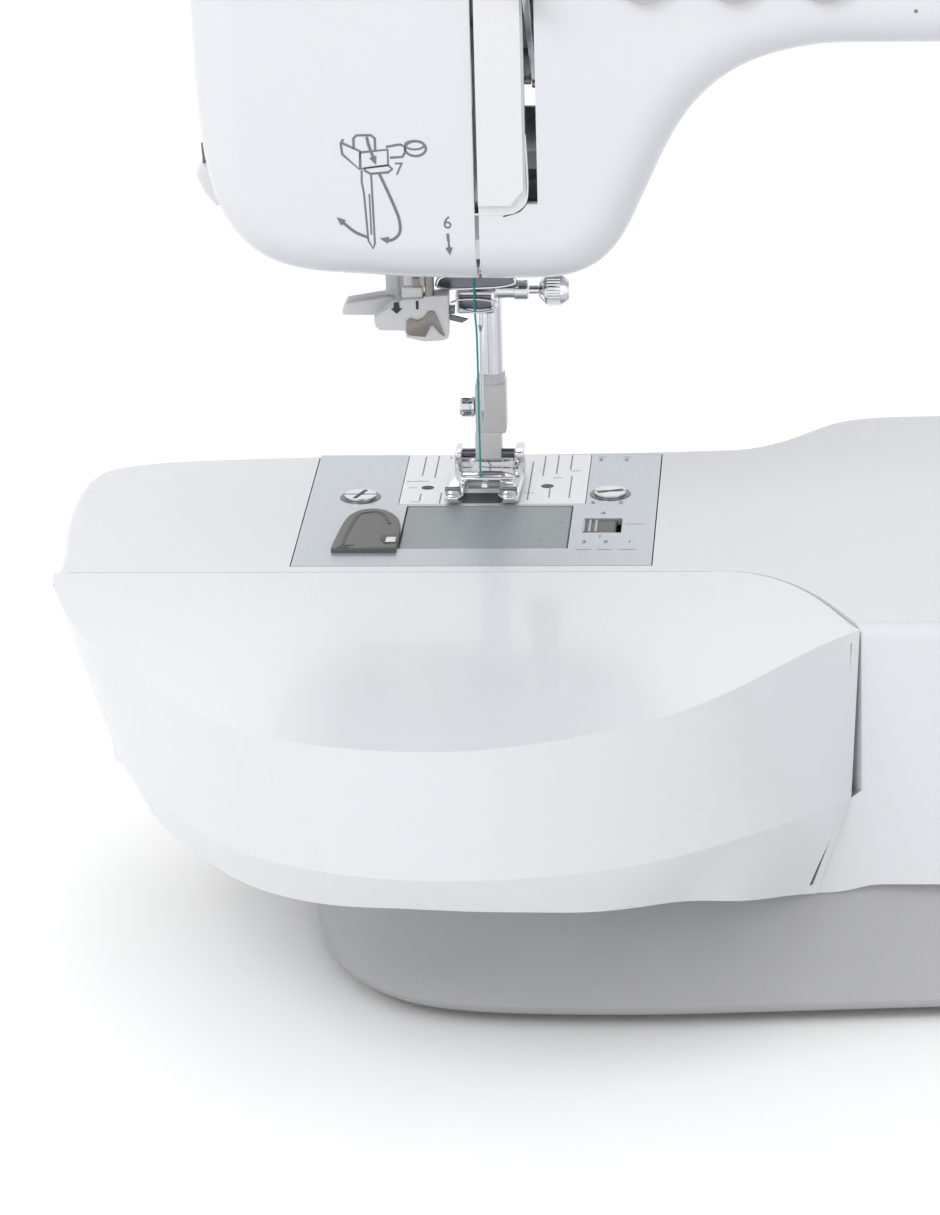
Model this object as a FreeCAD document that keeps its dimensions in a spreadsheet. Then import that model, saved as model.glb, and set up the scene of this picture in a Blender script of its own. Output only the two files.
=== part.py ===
"""Free-arm sewing machine with a slide-off extension table.

Lengths are millimetres.  Every sub-part is built about the point where the needle meets the plate:
X to the right, Y to the back, Z up, with the plate's top at zero.  Each is then placed so that the
machine stands centred over the origin with its feet on Z = 0.
"""
import FreeCAD, Part
import math
import os
import re
import Sketcher

V = FreeCAD.Vector
doc = FreeCAD.newDocument("sewing_machine")

# ---------------------------------------------------------------- driving dimensions
SIZES = [
    # the whole machine, measured from the needle
    ("bed_left", 107.6), ("table_front", 178.5), ("rear_depth", 61.0), ("bed_height", 100.0),
    ("throat", 205.0), ("tower_width", 120.0), ("shell_top", 192.0), ("top_height", 200.0),
    ("wall", 2.6), ("gap", 0.3), ("parting", -2.0), ("seat_gap", 0.2),
    # free arm and deck
    ("arm_front", 65.0), ("arm_rear", 32.3), ("arm_depth", 50.0), ("deck_front", 104.0),
    ("deck_depth", 68.3), ("shoulder_start", 60.0), ("shoulder_end", 98.3), ("deck_round", 4.0),
    ("deck_corner", 24.0), ("jack_width", 8.0), ("jack_z", -43.0),
    # extension table
    ("table_drop", 3.0), ("crease_depth", 37.0), ("crease_fall", 8.2), ("lip_depth", 50.0),
    # base
    ("base_left", 43.4), ("base_bottom", 97.0), ("base_flare", 17.0), ("base_drop", 2.6),
    ("base_wall", 3.0), ("foot_radius", 9.0),
    # upper arm and head
    ("head_left", 67.0), ("head_bottom", 70.0), ("arm_under", 130.0), ("casing_front", 52.0),
    ("casing_rear", 56.0), ("casing_round", 12.0), ("slot_x", 3.4), ("slot_width", 1.0),
    ("lever_x", 17.2), ("lever_slot", 2.8),
    # shafts
    ("shaft_z", 143.0), ("shaft_radius", 5.0), ("bush_radius", 7.0), ("running_fit", 0.05),
    ("low_y", -26.0), ("low_z", -35.0), ("low_radius", 3.5), ("stroke", 32.0),
    ("crank_left", 22.0), ("crank_width", 8.0), ("crank_radius", 20.0), ("rod_length", 38.0),
    ("rod_left", 8.0), ("rod_width", 4.0), ("pin_radius", 3.0),
    ("pulley_x", 213.0), ("pulley_width", 8.0), ("pulley_radius", 18.0), ("belt", 1.6),
    ("drive_x", 296.0), ("drive_radius", 30.0), ("motor_pulley_radius", 8.0), ("motor_z", -38.0),
    ("motor_radius", 22.0), ("motor_left", 236.0), ("motor_length", 52.0),
    ("wheel_radius", 36.0), ("wheel_width", 18.0), ("wheel_gap", 1.0), ("wheel_grips", 18),
    # needle and presser bars
    ("bar_radius", 3.2), ("bar_bottom", 51.0), ("bar_top", 186.0), ("needle_tip", 18.0),
    ("clamp_bottom", 48.8), ("clamp_height", 7.4), ("screw_z", 54.0), ("knob_radius", 4.0),
    ("presser_x", 1.8), ("presser_y", 10.0), ("presser_radius", 3.4), ("presser_bottom", 26.4),
    ("presser_top", 168.0), ("foot_width", 19.5), ("foot_front", 13.0), ("foot_back", 15.0),
    ("sole", 2.0), ("foot_lift", 0.4), ("foot_pin_z", 7.0), ("foot_pin_radius", 1.2),
    # plates
    ("plate_left", 45.3), ("plate_right", 45.7), ("plate_front", 60.6), ("plate_back", 26.2),
    ("plate_thick", 1.8), ("stitch_left", 21.5), ("stitch_right", 27.0), ("stitch_front", 13.5),
    ("cover_left", 19.0), ("cover_right", 23.8), ("cover_front", 47.5), ("cover_back", 15.3),
    ("cover_thick", 2.4), ("screw_head", 4.2), ("screw_shank", 2.0),
    # hook and bobbin
    ("hook_x", 1.0), ("hook_radius", 22.5), ("hook_top", 9.0), ("hook_height", 13.0),
    ("hook_shaft", 2.0), ("bobbin_radius", 10.3), ("bobbin_height", 11.5), ("bobbin_top", 7.2),
    # top deck
    ("well_left", 94.0), ("well_right", 264.0), ("well_front", 36.0), ("well_back", 6.0),
    ("well_depth", 26.0), ("lid_thick", 2.4), ("spool_z", 180.0),
    ("handle_left", 88.0), ("handle_right", 268.0), ("handle_y", 13.5), ("handle_reach", 22.5),
    ("handle_radius", 5.0), ("winder_x", 286.0), ("winder_y", -8.0),
]
sheet = doc.addObject("Spreadsheet::Sheet", "Dims")
for row, (alias, amount) in enumerate(SIZES, start=1):
    sheet.set("A%d" % row, alias)
    sheet.set("B%d" % row, str(amount))
    sheet.setAlias("B%d" % row, alias)
doc.recompute()


class Dims:
    """Reads a driving dimension from the sheet by its alias."""

    def __getattr__(self, alias):
        return float(getattr(sheet, alias))


d = Dims()
ALIASES = {alias for alias, amount in SIZES}

# ---------------------------------------------------------------- document helpers
PLACES = {}


def bound(text):
    """The expression with each alias pointing at its cell."""
    return re.sub(r"[a-z_]+", lambda m: "Dims." + m.group() if m.group() in ALIASES else m.group(), str(text))


def drive(obj, **expressions):
    for name, text in expressions.items():
        obj.setExpression(name.replace("__", "."), bound(text))
    return obj


def at(obj, x=0, y=0, z=0):
    PLACES[obj.Name] = (x, y, z)
    return drive(obj, Placement__Base__x=x, Placement__Base__y=y, Placement__Base__z=z)


def box(x0, x1, y0, y1, z0, z1):
    obj = doc.addObject("Part::Box", "box")
    drive(obj, Length="(%s) - (%s)" % (x1, x0), Width="(%s) - (%s)" % (y1, y0),
          Height="(%s) - (%s)" % (z1, z0))
    return at(obj, x0, y0, z0)


TURNS = {"x": FreeCAD.Rotation(V(0, 1, 0), 90), "y": FreeCAD.Rotation(V(1, 0, 0), -90),
         "z": FreeCAD.Rotation()}


def stand(obj, axis, start, u, v):
    """Point a round primitive along an axis, from start, with its centre at the other two."""
    obj.Placement = FreeCAD.Placement(V(), TURNS[axis])
    x, y, z = {"x": (start, u, v), "y": (u, start, v), "z": (u, v, start)}[axis]
    return at(obj, x, y, z)


def rod(axis, radius, start, end, u, v):
    obj = doc.addObject("Part::Cylinder", "rod")
    drive(obj, Radius=radius, Height="(%s) - (%s)" % (end, start))
    return stand(obj, axis, start, u, v)


def taper(axis, radius_start, radius_end, start, end, u, v):
    obj = doc.addObject("Part::Cone", "taper")
    drive(obj, Radius1=radius_start, Radius2=radius_end, Height="(%s) - (%s)" % (end, start))
    return stand(obj, axis, start, u, v)


def fuse(*parts):
    if len(parts) == 1:
        return parts[0]
    obj = doc.addObject("Part::MultiFuse", "fuse")
    obj.Shapes = list(parts)
    obj.Refine = True
    return obj


def cut(base, *tools):
    obj = doc.addObject("Part::Cut", "cut")
    obj.Base = base
    obj.Tool = fuse(*tools)
    return obj


def group(*parts):
    obj = doc.addObject("Part::Compound", "group")
    obj.Links = list(parts)
    return obj


def shaped(shape):
    obj = doc.addObject("Part::Feature", "shape")
    obj.Shape = shape
    return obj


def moved(shape, x, y, z):
    """A copy whose geometry itself is moved, so that a Placement can be set on top."""
    shift = FreeCAD.Matrix()
    shift.move(V(x, y, z))
    return shape.transformed(shift, copy=True)


def body(name="body"):
    return doc.addObject("PartDesign::Body", name)


def sketch(owner, role="XY_Plane", offset=0):
    made = owner.newObject("Sketcher::SketchObject", "sketch")
    plane = [item for item in owner.Origin.OriginFeatures if item.Role == role][0]
    made.AttachmentSupport = [(plane, "")]
    made.MapMode = "FlatFace"
    made.setExpression("AttachmentOffset.Base.z", bound(offset))
    return made


def pin_down(made, geometry, point, x, y):
    """Hold a sketch point at the place that two expressions give."""
    for kind, text in (("DistanceX", x), ("DistanceY", y)):
        index = made.addConstraint(Sketcher.Constraint(kind, -1, 1, geometry, point, 1.0))
        made.setExpression("Constraints[%d]" % index, bound(text))


def circle(made, x, y, radius):
    index = made.addGeometry(Part.Circle(V(0, 0, 0), V(0, 0, 1), 1.0))
    pin_down(made, index, 3, x, y)
    limit = made.addConstraint(Sketcher.Constraint("Radius", index, 1.0))
    made.setExpression("Constraints[%d]" % limit, bound(radius))


def polygon(made, *corners):
    """A closed outline whose corners are expressions."""
    count = len(corners)
    turn = 2 * math.pi / count
    spots = [V(math.cos(turn * i), math.sin(turn * i), 0) for i in range(count)]
    lines = [made.addGeometry(Part.LineSegment(spots[i], spots[(i + 1) % count])) for i in range(count)]
    for i, line in enumerate(lines):
        made.addConstraint(Sketcher.Constraint("Coincident", line, 2, lines[(i + 1) % count], 1))
    for line, (x, y) in zip(lines, corners):
        pin_down(made, line, 1, x, y)


def rectangle(made, x0, x1, y0, y1):
    polygon(made, (x0, y0), (x1, y0), (x1, y1), (x0, y1))


def pad(owner, made, length, down=False):
    feature = owner.newObject("PartDesign::Pad", "pad")
    feature.Profile = made
    feature.Reversed = down
    return drive(feature, Length=length)


def pocket(owner, made, length, up=False):
    feature = owner.newObject("PartDesign::Pocket", "pocket")
    feature.Profile = made
    feature.Reversed = up
    return drive(feature, Length=length)


def revolve(owner, made, axis="V_Axis", kind="Revolution"):
    feature = owner.newObject("PartDesign::" + kind, "turned")
    feature.Profile = made
    feature.ReferenceAxis = (made, [axis])
    feature.Angle = 360
    return feature


def pattern(owner, feature, made, count):
    """Repeat a feature evenly round the sketch's own normal."""
    repeat = owner.newObject("PartDesign::PolarPattern", "pattern")
    repeat.Originals = [feature]
    repeat.Axis = (made, ["N_Axis"])
    repeat.Angle = 360
    drive(repeat, Occurrences=count)
    owner.Tip = repeat
    return repeat


NODES = []
ORIGIN = ("(bed_left - throat - tower_width - wheel_gap - wheel_width) / 2",
          "(table_front - rear_depth) / 2", "bed_height")


def node(name, obj, x=0, y=0, z=0):
    """Name a finished sub-part and place it, with the machine's origin between its feet."""
    obj.Label = name
    place = PLACES.get(obj.Name, (x, y, z))
    for letter, base, extra in zip("xyz", ORIGIN, place):
        obj.setExpression("Placement.Base." + letter, bound("%s + (%s)" % (base, extra)))
    NODES.append(obj)
    return obj


# ---------------------------------------------------------------- curve helpers


def curve(points):
    line = Part.BSplineCurve()
    line.interpolate([V(*p) for p in points])
    return line.toShape()


def straight(start, end):
    return Part.makeLine(V(*start), V(*end))


def corner(centre, radius, start_angle, end_angle, plane="xy"):
    """An arc about a centre; angles in degrees."""
    marks = []
    for angle in (start_angle, (start_angle + end_angle) / 2, end_angle):
        a = math.radians(angle)
        u = centre[0] + radius * math.cos(a)
        v = centre[1] + radius * math.sin(a)
        marks.append(V(u, v, 0) if plane == "xy" else V(u, 0, v))
    return Part.Arc(*marks).toShape()


def inset(points, amount):
    """The same open run of plan points, moved sideways to its right."""
    shifted = []
    for i, point in enumerate(points):
        before = points[max(i - 1, 0)]
        after = points[min(i + 1, len(points) - 1)]
        run = V(after[0] - before[0], after[1] - before[1], 0)
        run.normalize()
        shifted.append((point[0] + run.y * amount, point[1] - run.x * amount) + tuple(point[2:]))
    return shifted


def raised(points, z):
    return [(p[0], p[1], z) for p in points]


def block(x0, x1, y0, y1, z0, z1):
    return Part.makeBox(x1 - x0, y1 - y0, z1 - z0, V(x0, y0, z0))


FAR = 1000.0


# ---------------------------------------------------------------- bed covers


def shoulder_front(z=0.0):
    """The S-shaped step where the bed widens towards the column, front side, left to right."""
    start, end = d.shoulder_start, d.shoulder_end
    run, rise = end - start, d.deck_front - d.arm_front
    shape = [(0.0, 0.0), (0.33, 0.05), (0.60, 0.28), (0.84, 0.68), (1.0, 1.0)]
    return [(start + run * u, -d.arm_front - rise * v, z) for u, v in shape]


def shoulder_rear(z=0.0):
    """The same step at the back, right to left."""
    rise = d.rear_depth - d.arm_rear
    start, run = d.shoulder_end + 25.0, -64.0
    shape = [(0.0, 1.0), (0.22, 0.98), (0.44, 0.86), (0.64, 0.45), (0.82, 0.1), (1.0, 0.0)]
    return [(start + run * u, d.arm_rear + rise * v, z) for u, v in shape]


def bed_outline(margin=0.0):
    """Plan of the bed at the deck, or of the space inside it when a margin is given."""
    right = d.throat + d.tower_width - margin
    front, rear = -d.deck_front + margin, d.rear_depth - margin
    radius = d.deck_corner - margin
    step, back = inset(shoulder_front(), -margin), inset(shoulder_rear(), -margin)
    step[0] = (d.shoulder_start, -d.arm_front + margin, 0)
    step[-1] = (d.shoulder_end + 0.64 * margin, front, 0)
    back[0] = (back[0][0], rear, 0)
    back[-1] = (back[-1][0], d.arm_rear - margin, 0)
    left, top = -d.bed_left, d.arm_rear
    left_end = inset([(-10.0, top - 3, 0), (-45.0, top - 4.3, 0), (left + 35, top - 6.5, 0),
                      (left + 16, top - 9.8, 0), (left + 5.2, top - 15.5, 0), (left + 0.34, 0.0, 0),
                      (left + 0.9, -30.0, 0)], -margin)
    front_left = (left + 2.3 + margin, -d.arm_front + margin, 0)
    return Part.Wire([
        straight(front_left, step[0]), curve(step),
        straight(step[-1], (right - radius, front, 0)),
        corner((right - radius, front + radius), radius, -90, 0),
        straight((right, front + radius, 0), (right, rear - radius, 0)),
        corner((right - radius, rear - radius), radius, 0, 90),
        straight((right - radius, rear, 0), back[0]), curve(back),
        curve([back[-1]] + left_end + [front_left])])


def under_arm(extra):
    """The space below the free arm, up to the column's slanting left side."""
    low = -d.arm_depth
    step = d.shoulder_end - 1.0 + extra
    foot = d.shoulder_end - 9.0 + extra
    marks = [V(-FAR, -FAR, low), V(step, -FAR, low), V(foot, -FAR, -d.deck_depth + 4),
             V(foot, -FAR, -FAR), V(-FAR, -FAR, -FAR), V(-FAR, -FAR, low)]
    return Part.Face(Part.makePolygon(marks)).extrude(V(0, 2 * FAR, 0))


def arm_end(extra):
    """The space past the free arm's end, which leans in below the rounded rim."""
    rim = -d.deck_round
    start = -d.bed_left + 2.7 + extra
    lean = 0.33 * (FAR + rim)
    marks = [V(start, -FAR, rim), V(start + lean, -FAR, -FAR), V(-FAR, -FAR, -FAR), V(-FAR, -FAR, rim),
             V(start, -FAR, rim)]
    slant = 2.4 / d.arm_front
    space = Part.Face(Part.makePolygon(marks)).extrude(V(-2 * slant * FAR, 2 * FAR, 0))
    return moved(space, slant * (FAR - d.arm_front), 0, 0)


def toe_run(drop):
    """The column's lower edge, from the tip of its front corner up to the deck's full depth."""
    tip, end, low = d.shoulder_end - 11, d.shoulder_end + 6, -d.deck_depth - d.base_drop + d.gap
    shape = [(0.0, 0.0), (0.25, 0.08), (0.5, 0.4), (0.72, 0.83), (0.86, 0.97), (1.0, 1.0)]
    return [V(tip + (end - tip) * u, 0, low + (-d.deck_depth - low) * v - drop) for u, v in shape]


def toe(extra):
    """The column's lower front corner, which runs out to the left under the step."""
    low = toe_run(0.0)
    step = d.shoulder_end
    front = V(low[0].x - extra, 0, low[0].z)
    marks = [low[-1], V(low[-1].x, 0, -40), V(step + 4, 0, -40), V(step - 2.6 - extra, 0, -45.2),
             V(low[0].x - extra, 0, -67), front]
    sides = [straight(start, end) for start, end in zip(marks, marks[1:])]
    if extra:
        sides.append(straight(front, low[0]))
    shape = Part.Face(Part.Wire(sides + [curve(low)])).extrude(V(0, 26 + extra, 0))
    return moved(shape, 0, -d.deck_front - extra, 0)


def under_toe():
    """The space over the base left of the column, up to just under the column's lower edge."""
    low = toe_run(d.gap)
    marks = [low[-1], V(low[-1].x, 0, FAR), V(-FAR, 0, FAR), V(-FAR, 0, low[0].z), low[0]]
    sides = [straight(start, end) for start, end in zip(marks, marks[1:])]
    return moved(Part.Face(Part.Wire(sides + [curve(low)])).extrude(V(0, 2 * FAR, 0)), 0, -FAR, 0)


def bed_shell():
    outline = bed_outline()
    outer = Part.Face(outline).extrude(V(0, 0, -d.deck_depth))
    rim = [e for e in outer.Edges if e.BoundBox.ZMin > -1e-6
           and not (e.BoundBox.YMax < -d.arm_front + 2 and e.BoundBox.XMax < d.shoulder_end + 2)]
    outer = outer.makeFillet(d.deck_round, rim)
    outer = outer.cut(under_arm(0.0)).cut(arm_end(0.0)).fuse(toe(0.0))
    hollow = Part.Face(bed_outline(d.wall)).extrude(V(0, 0, -d.deck_depth))
    hollow = moved(hollow, 0, 0, -d.wall).cut(under_arm(d.wall)).cut(arm_end(d.wall))
    return outer.cut(hollow)


def bed_openings():
    right = d.throat + d.tower_width
    plate = block(-d.plate_left - d.gap, d.plate_right + d.gap, -d.plate_front - d.gap,
                  d.plate_back + d.gap, -d.wall - 5, FAR)
    tower = block(d.throat + 7, right - 7, -d.casing_front + 7, d.casing_rear - 7, -d.wall - 5, 5)
    inlet = block(right - 10, right + 5, 8 - d.gap, 32 + d.gap, -55 - d.gap, -31 + d.gap)
    switch = block(right - 10, right + 5, 8 - d.gap, 30 + d.gap, -25 - d.gap, -9 + d.gap)
    half = d.jack_width / 2 + d.gap
    jack = block(right - 10, right + 5, d.parting - half, d.parting + half, d.jack_z - half, d.jack_z + half)
    return Part.makeCompound([plate, tower, inlet, switch, jack])


bed = bed_shell().cut(bed_openings())
front_half = block(-FAR, FAR, -FAR, d.parting, -FAR, FAR)
rear_half = block(-FAR, FAR, d.parting, FAR, -FAR, FAR)
node("bed_front_cover", shaped(bed.common(front_half)))
node("bed_rear_cover", shaped(bed.common(rear_half)))


def arm_floor():
    plate = Part.Face(bed_outline(d.wall + d.gap)).extrude(V(0, 0, d.wall))
    plate = moved(plate, 0, 0, -d.arm_depth).cut(arm_end(d.wall + d.gap))
    return plate.common(block(-FAR, d.shoulder_end - 6, -d.arm_front, FAR, -FAR, FAR))

# ---------------------------------------------------------------- extension table

TABLE_FOOT = -82.0


def lip_height(x):
    """Height of the table's lower edge, which dips towards the column."""
    share = max(0.0, (x - 10) / (d.shoulder_end - 21))
    return -d.lip_depth - (d.deck_depth + d.base_drop - d.gap - d.lip_depth) * min(share, 1.0) ** 1.3


def table_sections(margin):
    """Runs of the table's front from left to right: top edge, lower crease, and the lip carried on down."""
    reach, left = d.table_front, -d.bed_left
    right = d.shoulder_end - d.gap
    top = [(left + 2.4, -d.arm_front), (left + 6.5, -d.arm_front - 20), (left + 17.5, -d.arm_front - 46),
           (left + 31, reach * -0.735), (left + 50, -reach + 21), (left + 71, -reach + 6.5),
           (left + 95, -reach), (left + 118, -reach + 0.7), (left + 134, -reach + 6),
           (left + 158, -reach + 19.5), (left + 178, -reach + 40), (right - 9.5, -reach + 64.5),
           (right, -d.deck_front)]
    crease = [(left + 14, -d.arm_front), (left + 17.6, -d.arm_front - 18), (left + 25, -d.arm_front - 40),
              (left + 41, -reach + 43.5), (left + 55.5, -reach + 23.5), (left + 73, -reach + 11.5),
              (left + 97, -reach + 4.3), (left + 117, -reach + 3.8), (left + 135, -reach + 8.7),
              (left + 156, -reach + 20.7), (left + 177, -reach + 41), (right - 15, -reach + 57),
              (right - 2.3, -d.deck_front)]
    lip = [(left + 16, -d.arm_front), (left + 20, -d.arm_front - 12), (left + 29.5, -d.arm_front - 36),
           (left + 45, -reach + 49.7), (left + 59, -reach + 31), (left + 76, -reach + 21),
           (left + 96, -reach + 17), (left + 115, -reach + 15.8), (left + 134, -reach + 21),
           (left + 155.5, -reach + 37.3), (left + 172, -reach + 51), (right - 20, -reach + 65.3),
           (right - 10.7, -d.deck_front)]
    creases, lips = [], []
    for upper, lower in zip(crease, lip):
        z = -d.crease_depth - d.crease_fall * max(0.0, (upper[0] - 10) / (right - 12.3)) ** 1.5
        edge = lip_height(lower[0])
        carry = (TABLE_FOOT - z) / (edge - z)
        creases.append((upper[0], upper[1], z))
        lips.append((upper[0] + (lower[0] - upper[0]) * carry, upper[1] + (lower[1] - upper[1]) * carry,
                     TABLE_FOOT))
    runs = [raised(top, 1.0), creases, lips]
    return [inset(run, -margin) if margin else run for run in runs]


def table_solid(margin):
    """The table's outer form, or the space inside it when a margin is given."""
    wires = []
    back = -d.arm_front - d.gap if not margin else -d.arm_front + 5
    for run, depth_shift in zip(table_sections(margin), (0.0, 2.3, 14.5)):
        step = [(x - d.gap - margin * 0.7 - depth_shift, y - d.gap - margin * 0.7)
                for x, y, height in shoulder_front()]
        level = run[-1][2]
        start = run[0]
        front = run[:-1] + [(step[-1][0], step[-1][1], level)]
        back_left = (start[0], back, start[2])
        front[0] = back_left
        back_right = (step[0][0], back, level)
        side = [back_right] + [(x, y, level) for x, y in step[1:]]
        wires.append(Part.Wire([curve(front), curve(side[::-1]), straight(back_right, back_left)]))
    return Part.makeLoft(wires, True, True)


def above_table(drop):
    """Everything over the table's top, which falls away gently to the front."""
    fall = d.table_drop / (d.table_front - d.arm_front)
    marks = [V(-FAR, FAR, -drop), V(-FAR, -d.arm_front, -drop),
             V(-FAR, -FAR, -drop - fall * (FAR - d.arm_front)), V(-FAR, -FAR, FAR), V(-FAR, FAR, FAR)]
    return Part.Face(Part.makePolygon(marks + marks[:1])).extrude(V(2 * FAR, 0, 0))


def below_table(rise):
    """Everything under the table's lower edge."""
    stations = [-d.bed_left, -50.0, 0.0, 20.0, 35.0, 50.0, 65.0, d.shoulder_end - 11, d.shoulder_end]
    level = [(x, 0, lip_height(x) + rise) for x in stations]
    first, last = level[0], level[-1]
    face = Part.Face(Part.Wire([
        straight((-FAR, 0, first[2]), first), curve(level), straight(last, (FAR, 0, last[2])),
        straight((FAR, 0, last[2]), (FAR, 0, -FAR)), straight((FAR, 0, -FAR), (-FAR, 0, -FAR)),
        straight((-FAR, 0, -FAR), (-FAR, 0, first[2]))]))
    return moved(face.extrude(V(0, 2 * FAR, 0)), 0, -FAR, 0)


table_outer = table_solid(0.0).cut(above_table(0.0)).cut(below_table(0.0))
table_inner = table_solid(d.wall).cut(above_table(d.wall)).cut(below_table(d.wall))
node("extension_table", shaped(table_outer.cut(table_inner).cut(toe(d.gap))))

# ---------------------------------------------------------------- base


def base_outline(front, margin, z):
    left = -d.base_left + margin
    right = d.throat + d.tower_width - 1.0 - margin
    ahead, rear, radius = -front + margin, d.rear_depth - 1.0 - margin, d.deck_corner
    bow = [(left, -d.arm_front + 20, z), (left + 4.2, -d.arm_front - 10, z), (left + 14, ahead + 21, z),
           (left + 27, ahead + 7.5, z), (left + 42, ahead + 2, z), (left + 62, ahead, z),
           (left + 85, ahead - 0.2, z), (left + 120, ahead + 2, z), (left + 170, ahead + 5.8, z),
           (right - radius, ahead + 12, z)]
    ahead += 12
    return Part.Wire([
        curve(bow),
        curve([(right - radius, ahead, z), (right - 0.3 * radius, ahead + 0.3 * radius, z),
               (right, ahead + radius, z)]),
        straight((right, ahead + radius, z), (right, rear - radius, z)),
        curve([(right, rear - radius, z), (right - 0.3 * radius, rear - 0.3 * radius, z),
               (right - radius, rear, z)]),
        straight((right - radius, rear, z), (left + radius, rear, z)),
        curve([(left + radius, rear, z), (left + 0.3 * radius, rear - 0.3 * radius, z),
               (left, rear - radius, z)]),
        straight((left, rear - radius, z), bow[0])])


def base_form(margin, top, bottom, rounding):
    """The flared base, with its lower edge rounded in three steps."""
    foot = []
    for angle in (0, 30, 60, 90):
        turn = math.radians(angle)
        inside = margin + rounding * (1 - math.sin(turn))
        foot.append(base_outline(d.deck_front + d.base_flare, inside, bottom + rounding * (1 - math.cos(turn))))
    return Part.makeLoft(foot + [base_outline(d.deck_front + 1, margin, top)], True, True)


base_rim = -d.deck_depth - d.gap
base_outer = base_form(0.0, base_rim, -d.base_bottom, 3.0)
base_inner = base_form(d.base_wall, base_rim + 5, -d.base_bottom + d.base_wall, 2.0)
FEET = [(x, y) for x in (-10.0, d.throat + d.tower_width - 32) for y in (-82.0, d.rear_depth - 26)]
node("base_tray", shaped(base_outer.cut(base_inner).cut(under_toe())))


def base_deck():
    plate = base_form(d.base_wall + d.gap, base_rim + 5, -d.base_bottom + d.base_wall, 2.0)
    return plate.common(block(-FAR, d.shoulder_end - 10, -FAR, FAR, base_rim - d.base_drop - d.wall,
                              base_rim - d.base_drop))


node("bottom_covers", group(shaped(arm_floor()), shaped(base_deck())))

feet = [cut(fuse(rod("z", "foot_radius", "-bed_height", "-base_bottom", x, y)),
            rod("z", "foot_radius / 3", "-bed_height", "-bed_height + 1", x, y)) for x, y in FEET]
node("rubber_feet", group(*feet))

# ---------------------------------------------------------------- upper casing


def casing_profile(margin=0.0):
    """Side-on outline of head, arm and tower, or of the space inside them when a margin is given."""
    left, low, under, top = -d.head_left, d.head_bottom, d.arm_under, d.shell_top
    inner, outer = d.throat + margin, d.throat + d.tower_width - margin
    throat_round, outer_round, head_round = 22.0, 24.0, 27.0
    foot = 0.0 if not margin else -5.0
    run = inset([(left, top - head_round), (left, under + 5), (left + 1.4, low + 37), (left + 3.6, low + 24),
                 (left + 8, low + 14), (left + 15, low + 6.8), (left + 25, low + 2.8),
                 (left + 40, low + 1.3), (-15, low + 0.5), (3, low), (16, low - 0.1), (26, low + 0.9),
                 (33.5, low + 4.4), (39.2, low + 10.8), (43.6, low + 19.5), (48, low + 29),
                 (54.5, under - 19), (66, under - 7.5), (80, under - 1.8), (95, under)], -margin)
    run[-1] = (95, under + margin)
    knee = d.throat - throat_round
    return Part.Wire([
        curve([(x, 0, z) for x, z in run]),
        straight((95, 0, under + margin), (knee, 0, under + margin)),
        corner((knee, under - throat_round), throat_round + margin, 90, 0, "xz"),
        straight((inner, 0, under - throat_round), (inner, 0, foot)),
        straight((inner, 0, foot), (outer, 0, foot)),
        straight((outer, 0, foot), (outer, 0, top - outer_round)),
        corner((outer + margin - outer_round, top - outer_round), outer_round - margin, 0, 90, "xz"),
        straight((outer + margin - outer_round, 0, top - margin), (left + head_round, 0, top - margin)),
        corner((left + head_round, top - head_round), head_round - margin, 90, 180, "xz")])


def rounded_slab(profile, front, rear, radius):
    """A profile pulled from front to rear with both face edges rounded."""
    solid = Part.Face(profile).extrude(V(0, front + rear, 0))
    solid.translate(V(0, -front, 0))
    low = solid.BoundBox.ZMin
    edges = [e for e in solid.Edges if e.BoundBox.YLength < 0.01 and e.BoundBox.ZMax > low + 0.1]
    return solid.makeFillet(radius, edges)


casing_outer = rounded_slab(casing_profile(), d.casing_front, d.casing_rear, d.casing_round)
casing_inner = rounded_slab(casing_profile(d.wall), d.casing_front - d.wall, d.casing_rear - d.wall,
                            d.casing_round - d.wall)
casing = casing_outer.cut(casing_inner)


def casing_openings():
    right = d.throat + d.tower_width
    half = d.lever_slot / 2
    mouth = block(-44, 27, -34, 38, 0, d.head_bottom + 14)
    lever = block(d.lever_x - half, d.lever_x + half, -FAR, -20, d.head_bottom + 22, 184)
    lifter = block(7, 18, 30, FAR, 0, 102)
    deck = block(80, 272, -38, 42, d.shell_top - 8, FAR)
    axle = Part.makeCylinder(d.shaft_radius + 4, 30, V(right - 15, 0, d.shaft_z), V(1, 0, 0))
    winder = Part.makeCylinder(5.0, 30, V(d.winder_x, d.winder_y, d.shell_top - 15))
    screen = block(d.throat + 16, right - 16, -FAR, -40, 112, 168)
    dial = Part.makeCylinder(6.0, 30, V(d.throat + d.tower_width / 2, -40, 62), V(0, -1, 0))
    buttons = [Part.makeCylinder(7.0 + d.gap, 30, V(x, -40, 150), V(0, -1, 0)) for x in BUTTONS]
    slider = block(126, 168, -FAR, -40, 147.5, 152.5)
    return Part.makeCompound([mouth, lever, lifter, deck, axle, winder, screen, dial, slider] + buttons)


BUTTONS = (46.0, 68.0, 90.0)
casing = casing.cut(casing_openings())
slot_left = d.slot_x - d.slot_width / 2
slot_right = d.slot_x + d.slot_width / 2
casing_front = casing.common(front_half)
node("face_cover", shaped(casing_front.common(block(-FAR, slot_left, -FAR, FAR, -FAR, FAR))))
node("arm_front_cover", shaped(casing_front.common(block(slot_right, FAR, -FAR, FAR, -FAR, FAR))))
node("arm_rear_cover", shaped(casing.common(rear_half)))

# ---------------------------------------------------------------- cast frame

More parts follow.
